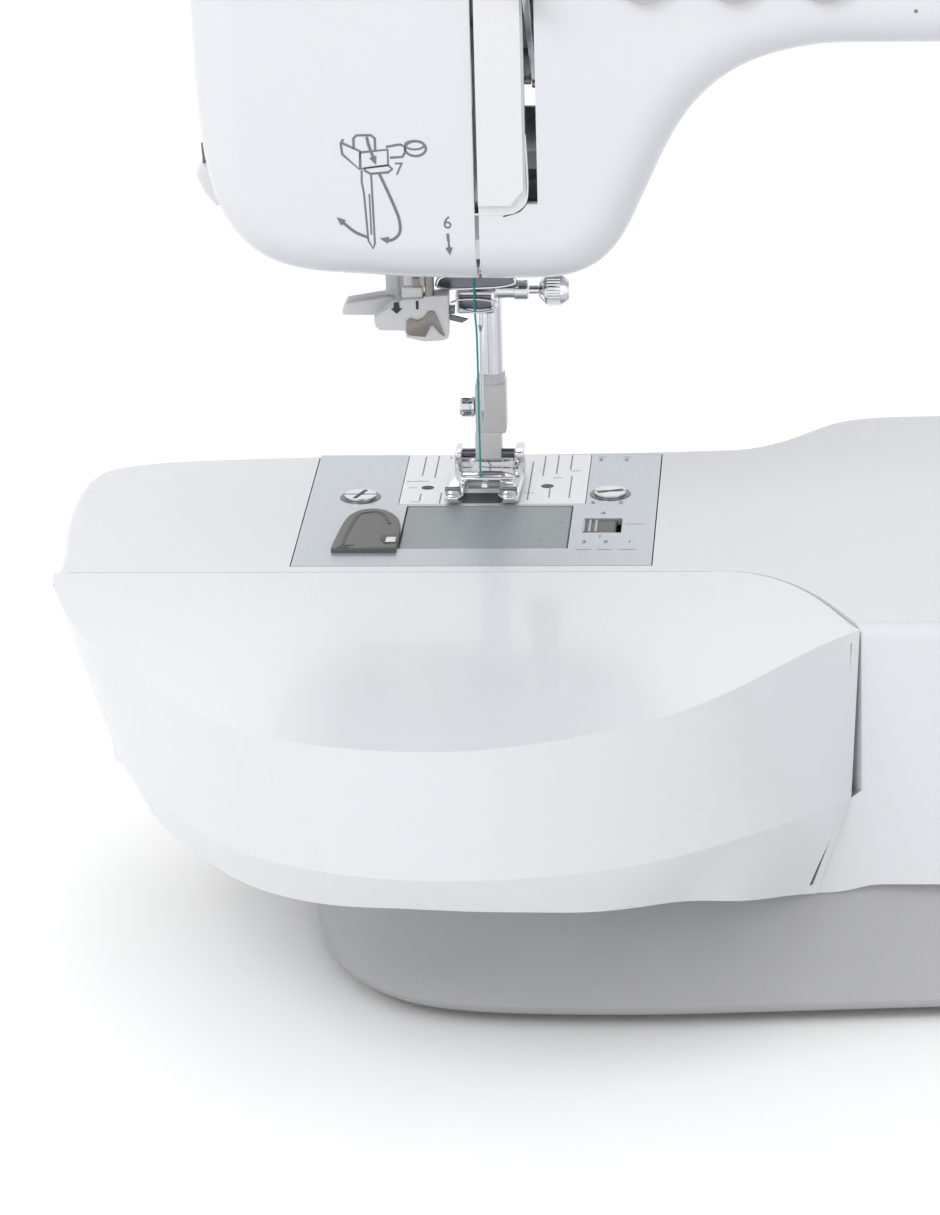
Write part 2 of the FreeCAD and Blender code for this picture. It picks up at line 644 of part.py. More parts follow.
frame_right = "throat + 88"
frame = fuse(
    # bed beam: two long ribs and the ribs across it
    box("-bed_left + 24", "throat + 20", "-arm_front + wall + 1", "-arm_front + wall + 4", -46, -6),
    box("-bed_left + 24", "throat + 20", 15, 18, -46, -6),
    *[box(x, "%s + 4" % x, "-arm_front + wall + 1", 18, -46, -6)
      for x in ("-bed_left + 24", "52", "throat - 9")],
    # web that carries the hook shaft, and the stand of the feed bar
    box(-24, 26, "-arm_front + wall + 1", 18, -46, -42.4),
    box(-8, 8, 6, 15.5, -44, "-bobbin_top - 17.1"),
    # ledge under the plates
    box("-plate_left + 1", "-plate_left + 5", "-plate_front + 2", 18, -12, "-plate_thick"),
    box("plate_right - 5", "plate_right - 1", "-plate_front + 2", 18, -12, "-plate_thick"),
    box("-plate_left + 1", "plate_right - 1", "-plate_front + 2", "-plate_front + 6", -12, "-plate_thick"),
    box("-plate_left + 1", "plate_right - 1", 14.5, 18, -12, "-plate_thick"),
    rod("z", 5, -12, "-plate_thick", -32, -8), rod("z", 5, -12, "-plate_thick", 33.3, -6),
    box("-plate_left + 1", -32, -11, -5, -12, -8), box(33.3, "plate_right - 1", -9, -3, -12, -8),
    # foot of the column and its post
    box("throat - 9", frame_right, 15, 42, -46, -40), box("throat + 24", frame_right, 30, 42, -46, 174),
    box("throat - 60", frame_right, -61, -58, -46, -40),
    # motor plate, and the plate that carries the bobbin winder
    box("throat + 84", "throat + 87", -24, 42, -61, -14),
    box("throat + 68.5", frame_right, 30, 42, 100, "shell_top - 5"),
    box("winder_x - 14", "winder_x + 6", -20, 42, "shell_top - 8", "shell_top - 5"),
    # guide block of the two levers beside the needle
    box(-29, -9.4, -14, 7, 78, 92), box(-29, 26, 5.5, 16, 70, 82),
    # arm beam, head plate and the brackets of the two bars
    box(32, frame_right, 24, 40, 136, 163), box(32, 40, -14, 40, 88, 178),
    box(-8, 26, -8, 18, 70, 77), box(20, 26, 5.5, 16, 76, 96), box(20, 40, 5.5, 16, 88, 96),
    box(30, 37, 26, 40, 82, 96),
    box(-8, 6.5, -7, 40, 146, 153), box(-8, 34, 24.5, 40, 146, 153),
    box(31, 35, -30, -10, 112, 128),
    # main shaft bearings
    box("throat - 17", "throat - 9", -10, 26, 133.5, 154),
    box("throat + 79", "throat + 87", -10, 32, 132, 154),
)
frame_bores = [
    rod("x", "bush_radius", 20, "throat + 100", 0, "shaft_z"),
    rod("x", "low_radius + 2.5", 50, "throat + 30", "low_y", "low_z"),
    rod("z", "hook_shaft + running_fit", -50, -40, "hook_x", "low_y"),
    box(-24.3, -20.3, -2.3, 2.3, 60, 100), rod("z", 1.85, 60, 100, -12.4, -10),
    rod("x", 7, "throat + 82", "throat + 95", 0, "motor_z"),
    rod("z", "3 + running_fit", "shell_top - 20", "shell_top", "winder_x", "winder_y"),
    rod("x", "pin_radius", 20, 50, 34, 88),
    rod("z", "bar_radius + running_fit", 60, 160, 0, 0),
    rod("z", "presser_radius + running_fit", 60, 160, "presser_x", "presser_y"),
    rod("x", "pin_radius", 28, 38, -24, 120),
    rod("z", "screw_shank + gap", -20, 0, -32, -8), rod("z", "screw_shank + gap", -20, 0, 33.3, -6),
    box("throat + 30", "throat + 83.5", 15, 31, -61, -14),
]
node("frame", cut(frame, *frame_bores))

bushes = [cut(rod("x", "bush_radius", x, "(%s) + 8" % x, 0, "shaft_z"),
              rod("x", "shaft_radius + running_fit", "(%s) - 1" % x, "(%s) + 9" % x, 0, "shaft_z"))
          for x in ("32", "throat - 17", "throat + 79")]
bushes += [cut(rod("x", "low_radius + 2.5", x, "(%s) + 4" % x, "low_y", "low_z"),
               rod("x", "low_radius + running_fit", "(%s) - 1" % x, "(%s) + 5" % x, "low_y", "low_z"))
           for x in ("52", "throat - 9")]
node("shaft_bushes", group(*bushes))

# ---------------------------------------------------------------- drive

crank = cut(
    fuse(rod("x", "crank_radius", "crank_left", "crank_left + crank_width", 0, "shaft_z"),
         rod("x", "pin_radius", "rod_left - 0.5", "crank_left + 1", 0, "shaft_z + stroke / 2"),
         rod("x", "shaft_radius", "crank_left + 1", "throat + tower_width + 15", 0, "shaft_z")),
    box("crank_left - 1", "crank_left + crank_width + 1", -12, 12, "shaft_z - crank_radius - 1",
        "shaft_z - 12"))
node("crankshaft", crank)
pin_z = "(shaft_z + stroke / 2)"
connecting_rod = cut(
    fuse(rod("x", 7, "rod_left", "rod_left + rod_width", 0, pin_z),
         rod("x", 5, "rod_left", "rod_left + rod_width", 0, pin_z + " - rod_length"),
         box("rod_left", "rod_left + rod_width", -3.2, 3.2, pin_z + " - rod_length", pin_z)),
    rod("x", "pin_radius + running_fit", 0, 20, 0, pin_z),
    rod("x", 2.5, 0, 20, 0, pin_z + " - rod_length"))
node("connecting_rod", connecting_rod)


def pulley(x, width, radius, bore, y, z):
    """A pulley with two flanges."""
    end = "(%s) + %s" % (x, width)
    return cut(fuse(rod("x", radius, x, end, y, z),
                    rod("x", "(%s) + 1.2" % radius, "(%s) - 1" % x, x, y, z),
                    rod("x", "(%s) + 1.2" % radius, end, "(%s) + 1" % end, y, z)),
               rod("x", bore, "(%s) - 2" % x, "(%s) + 2" % end, y, z))


arm_pulley = pulley("pulley_x", "pulley_width", "pulley_radius", "shaft_radius", 0, "shaft_z")
drive_pulley = pulley("drive_x", "pulley_width", "drive_radius", "shaft_radius", 0, "shaft_z")
node("shaft_pulleys", group(arm_pulley, drive_pulley))


def belt_loop(x, width, low, low_radius, high, high_radius):
    """A flat belt round two pulleys, each given by its (y, z) centre."""
    lean = math.atan2(high[0] - low[0], high[1] - low[1])
    span = math.hypot(high[0] - low[0], high[1] - low[1])

    def loop(grow):
        small, large = low_radius + grow, high_radius + grow
        tilt = math.asin((large - small) / span)
        start = [V(0, -small * math.cos(tilt), -small * math.sin(tilt)),
                 V(0, small * math.cos(tilt), -small * math.sin(tilt))]
        end = [V(0, -large * math.cos(tilt), span - large * math.sin(tilt)),
               V(0, large * math.cos(tilt), span - large * math.sin(tilt))]
        face = Part.Face(Part.Wire([
            Part.makeLine(start[0], end[0]), Part.Arc(end[0], V(0, 0, span + large), end[1]).toShape(),
            Part.makeLine(end[1], start[1]), Part.Arc(start[1], V(0, 0, -small), start[0]).toShape()]))
        return face.extrude(V(width, 0, 0))

    made = loop(d.seat_gap + d.belt).cut(loop(d.seat_gap))
    turn = FreeCAD.Placement(V(x, low[0], low[1]), FreeCAD.Rotation(V(1, 0, 0), -math.degrees(lean)))
    return made.transformed(turn.toMatrix(), copy=True)


inside = d.pulley_width - 1.0
arm_belt = belt_loop(d.pulley_x + 0.5, inside, (d.low_y, d.low_z), d.pulley_radius,
                     (0.0, d.shaft_z), d.pulley_radius)
motor_belt = belt_loop(d.drive_x + 0.5, inside, (0.0, d.motor_z), d.motor_pulley_radius,
                       (0.0, d.shaft_z), d.drive_radius)
node("timing_belts", group(shaped(arm_belt), shaped(motor_belt)))

motor = fuse(rod("x", "motor_radius", "motor_left", "motor_left + motor_length", 0, "motor_z"),
             rod("x", 9, "motor_left - 4", "motor_left", 0, "motor_z"))
node("motor", cut(motor, rod("x", "3 + running_fit", "motor_left + 20", "motor_left + motor_length + 5",
                             0, "motor_z")))
motor_pulley = pulley("drive_x", "pulley_width", "motor_pulley_radius", 2.9, 0, "motor_z")
node("motor_shaft", fuse(motor_pulley, rod("x", 3, "motor_left + 21", "drive_x + pulley_width + 2", 0,
                                           "motor_z")))

lower_pulley = pulley("pulley_x", "pulley_width", "pulley_radius", "low_radius - 0.1", "low_y", "low_z")
lower_shaft = fuse(rod("x", "low_radius", 8, "pulley_x + pulley_width + 1", "low_y", "low_z"),
                   taper("x", 5, 7, 4.5, 8.5, "low_y", "low_z"), lower_pulley)
node("lower_shaft", lower_shaft)

wheel = body()
turned = sketch(wheel, "XZ_Plane")
face = "throat + tower_width + wheel_gap"
polygon(turned, (face, "shaft_radius + 3"), (face, "wheel_radius - 3"),
        (face + " + 3", "wheel_radius"), (face + " + wheel_width - 4", "wheel_radius"),
        (face + " + wheel_width", "wheel_radius - 5"), (face + " + wheel_width", "wheel_radius - 9"),
        (face + " + wheel_width - 3", "wheel_radius - 14"), (face + " + wheel_width - 3", 0),
        (face + " + 14", 0), (face + " + 14", "shaft_radius"), (face, "shaft_radius"))
revolve(wheel, turned, "H_Axis")
grip = sketch(wheel, "YZ_Plane", face + " + 3")
circle(grip, 0, "wheel_radius + 1", 2.2)
doc.recompute()
grips = pocket(wheel, grip, "wheel_width - 7", up=True)
pattern(wheel, grips, grip, "wheel_grips")
node("handwheel", wheel, z="shaft_z")

# ---------------------------------------------------------------- needle bar and take-up

block_z = "(shaft_z + stroke / 2 - rod_length)"
node("needle_bar", fuse(rod("z", "bar_radius", "bar_bottom", "bar_top", 0, 0),
                        box(-6, 6, -7, 4.2, block_z + " - 5", block_z + " + 5"),
                        rod("x", 2.4, 5, "rod_left - gap", 0, block_z)))
clamp = cut(fuse(box(-6.2, 4.3, -5, 4.2, "clamp_bottom", "clamp_bottom + clamp_height"),
                 rod("x", 2.15, 4, 12.9, 0, "screw_z")),
            rod("z", "bar_radius", "bar_bottom", "bar_bottom + 20", 0, 0),
            rod("z", 1.0, "clamp_bottom - 1", "bar_bottom + 1", 0, 0),
            rod("x", 1.35, 1, 15, 0, "screw_z"))
clamp_screw = fuse(rod("x", 1.3, 3.3, 15.2, 0, "screw_z"), rod("x", "knob_radius", 16, 22, 0, "screw_z"),
                   taper("x", "knob_radius - 1.2", "knob_radius", 15, 16, 0, "screw_z"),
                   taper("x", "knob_radius", "knob_radius - 1.6", 22, 23.4, 0, "screw_z"))
node("needle_clamp_screw", clamp_screw)
bar_guide = cut(box(-10.5, 9.8, -6.2, 4.6, "clamp_bottom + clamp_height - 0.4",
                    "clamp_bottom + clamp_height + 1.6"),
                rod("z", "bar_radius", 40, 80, 0, 0))
node("needle_clamp", fuse(clamp, bar_guide))
needle = fuse(rod("z", 1.0, "clamp_bottom - 4", "bar_bottom - 0.1", 0, 0),
              taper("z", 0.45, 1.0, "clamp_bottom - 6", "clamp_bottom - 4", 0, 0),
              rod("z", 0.45, "needle_tip + 3", "clamp_bottom - 6", 0, 0),
              taper("z", 0.1, 0.45, "needle_tip", "needle_tip + 3", 0, 0))
node("needle", needle)


def needle_thread():
    """Thread down past the clamp, in to the needle and on through its eye towards the plate."""
    top, turn, close = d.clamp_bottom + d.clamp_height - 1, d.clamp_bottom, d.clamp_bottom - 8
    path = [V(-0.9, -5.3, top), V(-0.9, -5.3, turn), V(-0.9, -0.9, close), V(-0.9, -0.9, 2.0)]
    strand = Part.makeSphere(0.2, path[1]).fuse(Part.makeSphere(0.2, path[2]))
    for start, end in zip(path, path[1:]):
        strand = strand.fuse(Part.makeCylinder(0.2, (end - start).Length, start, end - start))
    return strand


node("needle_thread", shaped(needle_thread()))


def take_up_lever():
    """A flat lever from its pivot forward and up to the thread eye, with the eye open to one side."""
    half = 0.8
    pivot, tip = V(0, -24, 120), V(0, -62, 151)
    run = (tip - pivot).normalize()
    side = V(0, -run.z, run.y)
    marks = [pivot - side * 5, tip - side * 2.4, tip + run * 3, tip + side * 2.4, pivot + side * 5]
    plate = Part.Face(Part.makePolygon(marks + marks[:1])).extrude(V(2 * half, 0, 0))
    hub = Part.makeCylinder(5.5, 2 * half, pivot, V(1, 0, 0))
    eye = Part.makeCylinder(1.0, 2 * half + 2, tip - V(1, 0, 0), V(1, 0, 0))
    bore = Part.makeCylinder(d.pin_radius + d.running_fit, 2 * half + 2, pivot - V(1, 0, 0), V(1, 0, 0))
    return moved(plate.fuse(hub).cut(eye).cut(bore), d.lever_x - half, 0, 0)


node("take_up_lever", shaped(take_up_lever()))
take_up_pin = fuse(rod("x", "pin_radius", "lever_x - 2.2", 34, -24, 120),
                   rod("x", 4.6, "lever_x - 3.6", "lever_x - 1.2", -24, 120))

# ---------------------------------------------------------------- presser

node("presser_bar", fuse(rod("z", "presser_radius", "presser_bottom", "presser_top", "presser_x", "presser_y"),
                         rod("z", 5.2, 106, 110, "presser_x", "presser_y")))


def presser_spring():
    coils, wire, radius = 9, 0.7, 4.6
    low, high = 110.0 + wire + 0.1, 146.0 - wire - 0.1
    spine = Part.makeHelix((high - low) / coils, high - low, radius)
    start = spine.Edges[0].Vertexes[0].Point
    section = Part.Wire(Part.makeCircle(wire, start, V(0, 1, 0.2)))
    coil = Part.Wire(spine).makePipeShell([section], True, True)
    return moved(coil, d.presser_x, d.presser_y, low)


node("presser_spring", shaped(presser_spring()))
lifter = fuse(cut(rod("x", 6, 9, 16, 34, 88), rod("x", "pin_radius + running_fit", 8, 18, 34, 88)),
              box(9, 16, 38.6, 43, 60, 86), box(8, 17, 38, 44, 54, 62))
node("lifter_lever", lifter)
lifter_pin = fuse(rod("x", "pin_radius", 7, 37, 34, 88), rod("x", 5, 5, 8.5, 34, 88))
holder = cut(
    fuse(box("presser_x - 3.6", "presser_x + 3.6", 5.6, 14.4, 14, "presser_bottom"),
         box("presser_x - 3.2", "presser_x + 3.2", 6.2, 12.6, 5.4, 14)),
    rod("x", "foot_pin_radius + running_fit", -10, 12, 9, "foot_pin_z"),
    box("presser_x - 5", "presser_x + 5", 8, 10, 5, "foot_pin_z"))
holder_screw = fuse(rod("x", 1.4, "presser_x - 5", "presser_x - 3.6", 9, 19.3),
                    rod("x", 2.7, "presser_x - 8.4", "presser_x - 4.2", 9, 19.3))
node("foot_holder", group(holder, holder_screw))
toe_left = "presser_x - foot_width / 2 - 1"
toe_right = "presser_x + foot_width / 2 - 1"
foot = cut(
    fuse(box(toe_left, toe_right, "-foot_front", "foot_back", "foot_lift", "foot_lift + sole"),
         box("presser_x - 9.1", "presser_x - 7.1", 6, 12, "foot_lift + 1", 9),
         box("presser_x + 6.5", "presser_x + 8.5", 6, 12, "foot_lift + 1", 9),
         rod("x", "foot_pin_radius", "presser_x - 8", "presser_x + 8", 9, "foot_pin_z"),
         rod("x", 1.6, toe_left, toe_right, "-foot_front", "foot_lift + 2.4")),
    box(-4.6, 4.6, -2.2, 2.0, 0, 6), box(-1.6, 2.2, -20, -2, 0, 6))
node("presser_foot", foot)

# ---------------------------------------------------------------- levers beside the needle

buttonhole = fuse(box(-36, -20.6, -4, 2, 50, 54), box(-24, -20.6, -2, 2, 50, 128))
node("buttonhole_lever", buttonhole)
threader = fuse(box(-25.5, -9.5, -14, -7.4, 46.5, 55), box(-18.7, -8.5, -14.6, -14, 43.8, 50),
                rod("z", 1.8, 55, 118, -12.4, -10), box(-9.5, -2.8, -9, -8, 47.4, 49))
node("needle_threader", threader)
cutter = cut(fuse(box(-68.9, -64.4, -24, -14, 84, 95), box(-67.9, -65.4, -24, -14, 95, 104)),
             box(-71, -67.3, -30, -10, 92, 100))
node("thread_cutter", cutter)

# ---------------------------------------------------------------- plates

plate = body()
face_plan = sketch(plate, offset=0)
rectangle(face_plan, "-plate_left", "plate_right", "-plate_front", "plate_back")
pad(plate, face_plan, "plate_thick", down=True)
openings = sketch(plate)
rectangle(openings, "-stitch_left - seat_gap", "stitch_right + seat_gap", "-stitch_front - seat_gap",
          "plate_back + 1")
rectangle(openings, "-cover_left - gap", "cover_right + gap", "-cover_front - gap", "-cover_back + gap")
rectangle(openings, 27.4, 37.2, -36, -25)
circle(openings, -32, -8, "screw_shank + gap")
circle(openings, 33.3, -6, "screw_shank + gap")
pocket(plate, openings, "plate_thick + 1")
node("needle_plate", plate)

stitch = body()
stitch_plan = sketch(stitch)
rectangle(stitch_plan, "-stitch_left", "stitch_right", "-stitch_front", "plate_back")
pad(stitch, stitch_plan, "plate_thick", down=True)
slots = sketch(stitch)
rectangle(slots, -4.2, 4.2, -1.3, 1.3)
for left, right, low in (("-8.8", "-6.2", "-9"), ("6.2", "8.8", "-9"), ("-3.6", "-1", "4"), ("1", "3.6", "4")):
    rectangle(slots, left, right, low, 13)
circle(slots, -14.9, -0.5, 1.5)
circle(slots, 16.5, 0.5, 1.5)
pocket(stitch, slots, "plate_thick + 1")
node("stitch_plate", stitch)

screws = [cut(fuse(rod("z", "screw_head", 0, 0.9, x, y), rod("z", "screw_shank", -9, 0, x, y)),
              box("%s - 5" % x, "%s + 5" % x, "%s - 0.5" % y, "%s + 0.5" % y, 0.4, 2))
          for x, y in ((-32, -8), (33.3, -6))]
node("plate_screws", group(*screws))

cover = body()
cover_plan = sketch(cover, offset="-0.1")
rectangle(cover_plan, "-cover_left", "cover_right", "-cover_front", "-cover_back")
pad(cover, cover_plan, "cover_thick", down=True)
node("bobbin_cover", cover)

button = fuse(box(27.7, 33.7, -35.7, -25.3, "-plate_thick - 2.5", -0.2),
              box(24.8, 36.2, -36.5, -24.5, "-plate_thick - 2.5", "-plate_thick - 0.3"))
node("cover_release_button", button)
guide = body()
guide_plan = sketch(guide, offset=0)
polygon(guide_plan, (-36, -51), (-19.4, -51), (-19.4, -33), (-19.9, -28), (-21.5, -23.5), (-24, -20.3),
        (-26.5, -19), (-29.5, -21), (-31.5, -26), (-33.5, -35))
pad(guide, guide_plan, 1.4)
groove = sketch(guide, offset=1.4)
polygon(groove, (-32.5, -47), (-30.8, -47), (-29, -32), (-26.5, -23.5), (-24, -25), (-26.2, -21.7),
        (-30.2, -30))
pocket(guide, groove, 0.7)
node("bobbin_thread_guide", guide)

# ---------------------------------------------------------------- hook, bobbin and feed


def turned_body(*corners):
    """A body of revolution about its own vertical axis, given by (radius, height) corners."""
    made = body()
    outline = sketch(made, "XZ_Plane")
    polygon(outline, *corners)
    revolve(made, outline)
    return made


def on_hook_axis(name, made):
    node(name, made, "hook_x", "low_y")


hook_floor = "(-hook_top - hook_height)"
on_hook_axis("hook", turned_body(
    (0, -45.8), ("hook_shaft", -45.8), ("hook_shaft", "low_z + 7.3"), (3.4, "low_z + 7.3"),
    (2.6, "low_z + 11"), ("hook_shaft", "low_z + 11"), ("hook_shaft", hook_floor),
    ("hook_radius", hook_floor), ("hook_radius", "-hook_top"), ("hook_radius - 2", "-hook_top"),
    ("hook_radius - 2", hook_floor + " + 2"), (0, hook_floor + " + 2")))
on_hook_axis("bobbin_holder", turned_body(
    (0, hook_floor + " + 2.4"), ("hook_radius - 2.4", hook_floor + " + 2.4"),
    ("hook_radius - 2.4", "-hook_top + gap"), ("hook_radius - 0.7", "-hook_top + gap"),
    ("hook_radius - 0.7", "-hook_top + 1.3"), ("bobbin_radius + 0.5", "-hook_top + 1.3"),
    ("bobbin_radius + 0.5", "-bobbin_top - bobbin_height - gap"), (0, "-bobbin_top - bobbin_height - gap")))
on_hook_axis("bobbin", turned_body(
    (3, "-bobbin_top - bobbin_height"), ("bobbin_radius", "-bobbin_top - bobbin_height"),
    ("bobbin_radius", "-bobbin_top - bobbin_height + 0.9"), (4.6, "-bobbin_top - bobbin_height + 0.9"),
    (4.6, "-bobbin_top - 0.9"), ("bobbin_radius", "-bobbin_top - 0.9"), ("bobbin_radius", "-bobbin_top"),
    (3, "-bobbin_top")))
on_hook_axis("bobbin_thread", turned_body(
    (4.6, "-bobbin_top - bobbin_height + 0.9"), ("bobbin_radius - 1.4", "-bobbin_top - bobbin_height + 0.9"),
    ("bobbin_radius - 1.4", "-bobbin_top - 0.9"), (4.6, "-bobbin_top - 0.9")))

teeth = [box(x, "%s + 1.6" % x, low, high, -4, -0.35)
         for x, low, high in (("-8.3", -6, 10.4), ("6.7", -6, 10.4), ("-3.1", 6.6, 10.4), ("1.5", 6.6, 10.4))]
notches = [box(-10, 10, y, y + 0.7, -1.1, 0) for y in [-5.3 + 1.5 * i for i in range(11)]]
feed = cut(fuse(box(-9, 9, -6, 11, -6.8, -3.6), box(-6, 6, 7, 12, "-bobbin_top - 16.8", -4), *teeth),
           box(-5.2, 5.2, -4.2, 4.2, -10, 0), *notches)
node("feed_dog", feed)

# ---------------------------------------------------------------- top deck, handle, spool and winder

top_deck = cut(
    fuse(box(80.3, 271.7, -37.7, 41.7, "shell_top - 2.6", "shell_top"),
         box("well_left - 2", "well_right + 2", "-well_front - 1.7", "well_back + 2",
             "shell_top - well_depth - 2", "shell_top - 1"),
         box("handle_left - 6", "handle_right + 3.7", "well_back + 1", 41.7,
             "shell_top - 16", "shell_top - 1")),
    box("well_left", "well_right", "-well_front + 0.5", "well_back", "shell_top - well_depth", "shell_top + 5"),
    box("handle_left - 5", "handle_right + 2.5", "well_back + 2", 40.3, "shell_top - 14", "shell_top + 5"))
handle_z = "shell_top - 7"
top_deck = fuse(top_deck, rod("x", 3, "well_right - 60", "well_right + 1", -15, "spool_z"))
node("top_deck", top_deck)
bail = cut(fuse(box("handle_left - 1", "handle_left + 7", "handle_y - 3.8", "handle_y + handle_reach",
                    handle_z + " - 3.8", handle_z + " + 3.8"),
                box("handle_right - 7", "handle_right + 1", "handle_y - 3.8", "handle_y + handle_reach",
                    handle_z + " - 3.8", handle_z + " + 3.8"),
                rod("x", "handle_radius", "handle_left - 1", "handle_right + 1", "handle_y + handle_reach - 1",
                    handle_z)),
           rod("x", "2.5 + running_fit", "handle_left - 10", "handle_right + 10", "handle_y", handle_z))
node("carrying_handle", bail)
handle_pins = [rod("x", 2.5, "handle_left - 4.9", "handle_left + 6", "handle_y", handle_z),
               rod("x", 2.5, "handle_right - 6", "handle_right + 2.4", "handle_y", handle_z)]
node("pivot_pins", group(take_up_pin, lifter_pin, *handle_pins))

lid = cut(box("well_left + 0.4", "well_right - 0.4", "-well_front + 0.9", "well_back - 0.4",
              "shell_top - lid_thick", "shell_top"),
          box("(well_left + well_right) / 2 - 12", "(well_left + well_right) / 2 + 12", "-well_front",
              "-well_front + 5", "shell_top - 5", "shell_top + 1"))
node("top_lid", lid)
spool_cap = cut(fuse(taper("x", 8.5, 6.5, "well_right - 52", "well_right - 48", -15, "spool_z"),
                     rod("x", 5, "well_right - 58", "well_right - 52", -15, "spool_z")),
                rod("x", "3 + running_fit", "well_right - 70", "well_right - 40", -15, "spool_z"))
node("spool_cap", spool_cap)

winder_top = "top_height"
winder = fuse(rod("z", 3, "shell_top - 14", winder_top, "winder_x", "winder_y"),
              rod("z", 4.4, "shell_top + 0.3", "shell_top + 1.2", "winder_x", "winder_y"),
              rod("z", 9, "shell_top - 14", "shell_top - 9", "winder_x", "winder_y"))
node("bobbin_winder", winder)

# ---------------------------------------------------------------- head details and controls

tongue = body()
tongue_plan = sketch(tongue, "XZ_Plane", "casing_front")
polygon(tongue_plan, ("slot_x + slot_width / 2", "head_bottom + 22"),
        ("lever_x - lever_slot / 2 - 4", "head_bottom + 22"),
        ("lever_x - lever_slot / 2 - 0.6", "head_bottom + 26"), ("lever_x - lever_slot / 2 - 0.6", 170),
        ("slot_x + slot_width / 2", 170))
pad(tongue, tongue_plan, 1.2)
node("thread_channel_plate", tongue)

for name, x in zip(("start_stop_button", "reverse_button", "needle_position_button"), BUTTONS):
    made = fuse(rod("y", 7, "-casing_front - 2", "-casing_front + wall + 0.4", x, 150),
                rod("y", 9, "-casing_front + wall + 0.4", "-casing_front + wall + 2", x, 150))
    node(name, made)
button_board = fuse(box(30, 176, "-casing_front + wall + 5.2", "-casing_front + wall + 6.8", 138, 162),
                    *[rod("y", 2.5, "-casing_front + wall + gap", "-casing_front + wall + 5.2", x, 157)
                      for x in (34, 172)])
node("speed_slider", fuse(box(128, 136, "-casing_front - 3", "-casing_front + wall + 0.4", 148, 152),
                          box(125, 139, "-casing_front + wall + 0.4", "-casing_front + wall + 2", 145, 155)))

screen = cut(box("throat + 16 + gap", "throat + tower_width - 16 - gap", "-casing_front - 0.8",
                 "-casing_front + 3", 112.3, 167.7),
             box("throat + 24", "throat + tower_width - 24", "-casing_front - 2", "-casing_front + 0.4",
                 122, 160))
window = box("throat + 24 + seat_gap", "throat + tower_width - 24 - seat_gap",
             "-casing_front - 0.6", "-casing_front + 0.4", 122.2, 159.8)
node("display", group(screen, window))
main_board = fuse(box("throat + 12", "throat + tower_width - 12", "-casing_front + 5",
                      "-casing_front + 6.6", 76, 172),
                  *[rod("y", 2.5, "-casing_front + wall + gap", "-casing_front + 5", x, 81)
                    for x in ("throat + 17", "throat + tower_width - 17")])
node("circuit_boards", group(button_board, main_board))

dial = body()
dial_x = "throat + tower_width / 2"
knob = sketch(dial, "XZ_Plane", "casing_front + 0.5")
circle(knob, 0, 0, 17)
pad(dial, knob, 11)
stem = sketch(dial, "XZ_Plane", "casing_front + 0.5")
circle(stem, 0, 0, 5.5)
pad(dial, stem, 12, down=True)
notch = sketch(dial, "XZ_Plane", "casing_front + 11.5")
circle(notch, 0, 18.2, 2)
doc.recompute()
notches = pocket(dial, notch, 9)
pattern(dial, notches, notch, 24)
node("selection_dial", dial, dial_x, 0, 62)

right = "throat + tower_width"
node("power_switch", box(right + " - 5", right + " + 1.5", 10.5, 27.5, -23, -11))
switch_frame = cut(box(right + " - 9", right + " + 0.8", 8, 30, -25, -9),
                   box(right + " - 8.5", right + " + 3", 9.7, 28.3, -23.3, -10.7))
inlet = cut(box(right + " - 18", right + " + 0.8", 8, 32, -55, -31),
            box(right + " - 14", right + " + 3", 12, 28, -50, -36))
inlet = fuse(inlet, box(right + " - 14", right + " - 3", 19, 21, -45, -41))
jack = cut(box(right + " - 14", right + " + 0.6", "parting - jack_width / 2", "parting + jack_width / 2",
               "jack_z - jack_width / 2", "jack_z + jack_width / 2"),
           rod("x", 1.8, right + " - 11", right + " + 2", "parting", "jack_z"))
node("side_sockets", group(inlet, jack, switch_frame))

# ---------------------------------------------------------------- check and write

doc.recompute()
for obj in doc.Objects:
    if "Invalid" in obj.State or "Error" in obj.State:
        raise RuntimeError("%s (%s) failed: %s" % (obj.Name, obj.Label, obj.State))
os.makedirs("parts", exist_ok=True)
for obj in NODES:
    if obj.Shape.isNull() or not obj.Shape.isValid() or not obj.Shape.Solids:
        raise RuntimeError("%s has no valid solid" % obj.Label)
for obj in NODES:
    obj.Shape.exportStep("parts/%s.step" % obj.Label)
whole = FreeCAD.BoundBox()
for obj in NODES:
    whole.add(obj.Shape.BoundBox)
print("nodes", len(NODES), "box", whole)
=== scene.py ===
"""Looks of the sewing machine, built around its solid parts."""
import bmesh
import bpy
import math
from mathutils import Matrix, Vector


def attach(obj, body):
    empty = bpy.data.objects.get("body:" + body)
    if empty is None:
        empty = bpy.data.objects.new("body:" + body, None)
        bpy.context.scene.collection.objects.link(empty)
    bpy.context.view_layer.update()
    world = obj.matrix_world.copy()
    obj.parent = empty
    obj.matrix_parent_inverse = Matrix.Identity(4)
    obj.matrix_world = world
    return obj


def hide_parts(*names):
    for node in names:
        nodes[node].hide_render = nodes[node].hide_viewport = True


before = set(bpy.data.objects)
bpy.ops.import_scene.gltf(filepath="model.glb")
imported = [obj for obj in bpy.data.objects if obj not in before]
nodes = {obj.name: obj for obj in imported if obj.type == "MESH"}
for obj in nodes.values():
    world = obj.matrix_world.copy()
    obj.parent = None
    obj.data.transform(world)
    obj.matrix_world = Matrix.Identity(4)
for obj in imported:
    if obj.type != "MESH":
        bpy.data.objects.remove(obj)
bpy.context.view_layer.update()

# Lengths below are millimetres from where the needle meets the plate.
# X runs to the handwheel, y to the back and z up.
NEEDLE = Vector((-0.1182, 0.05875, 0.1))
TO_FRAME = Matrix.Translation(NEEDLE) @ Matrix.Scale(0.001, 4)
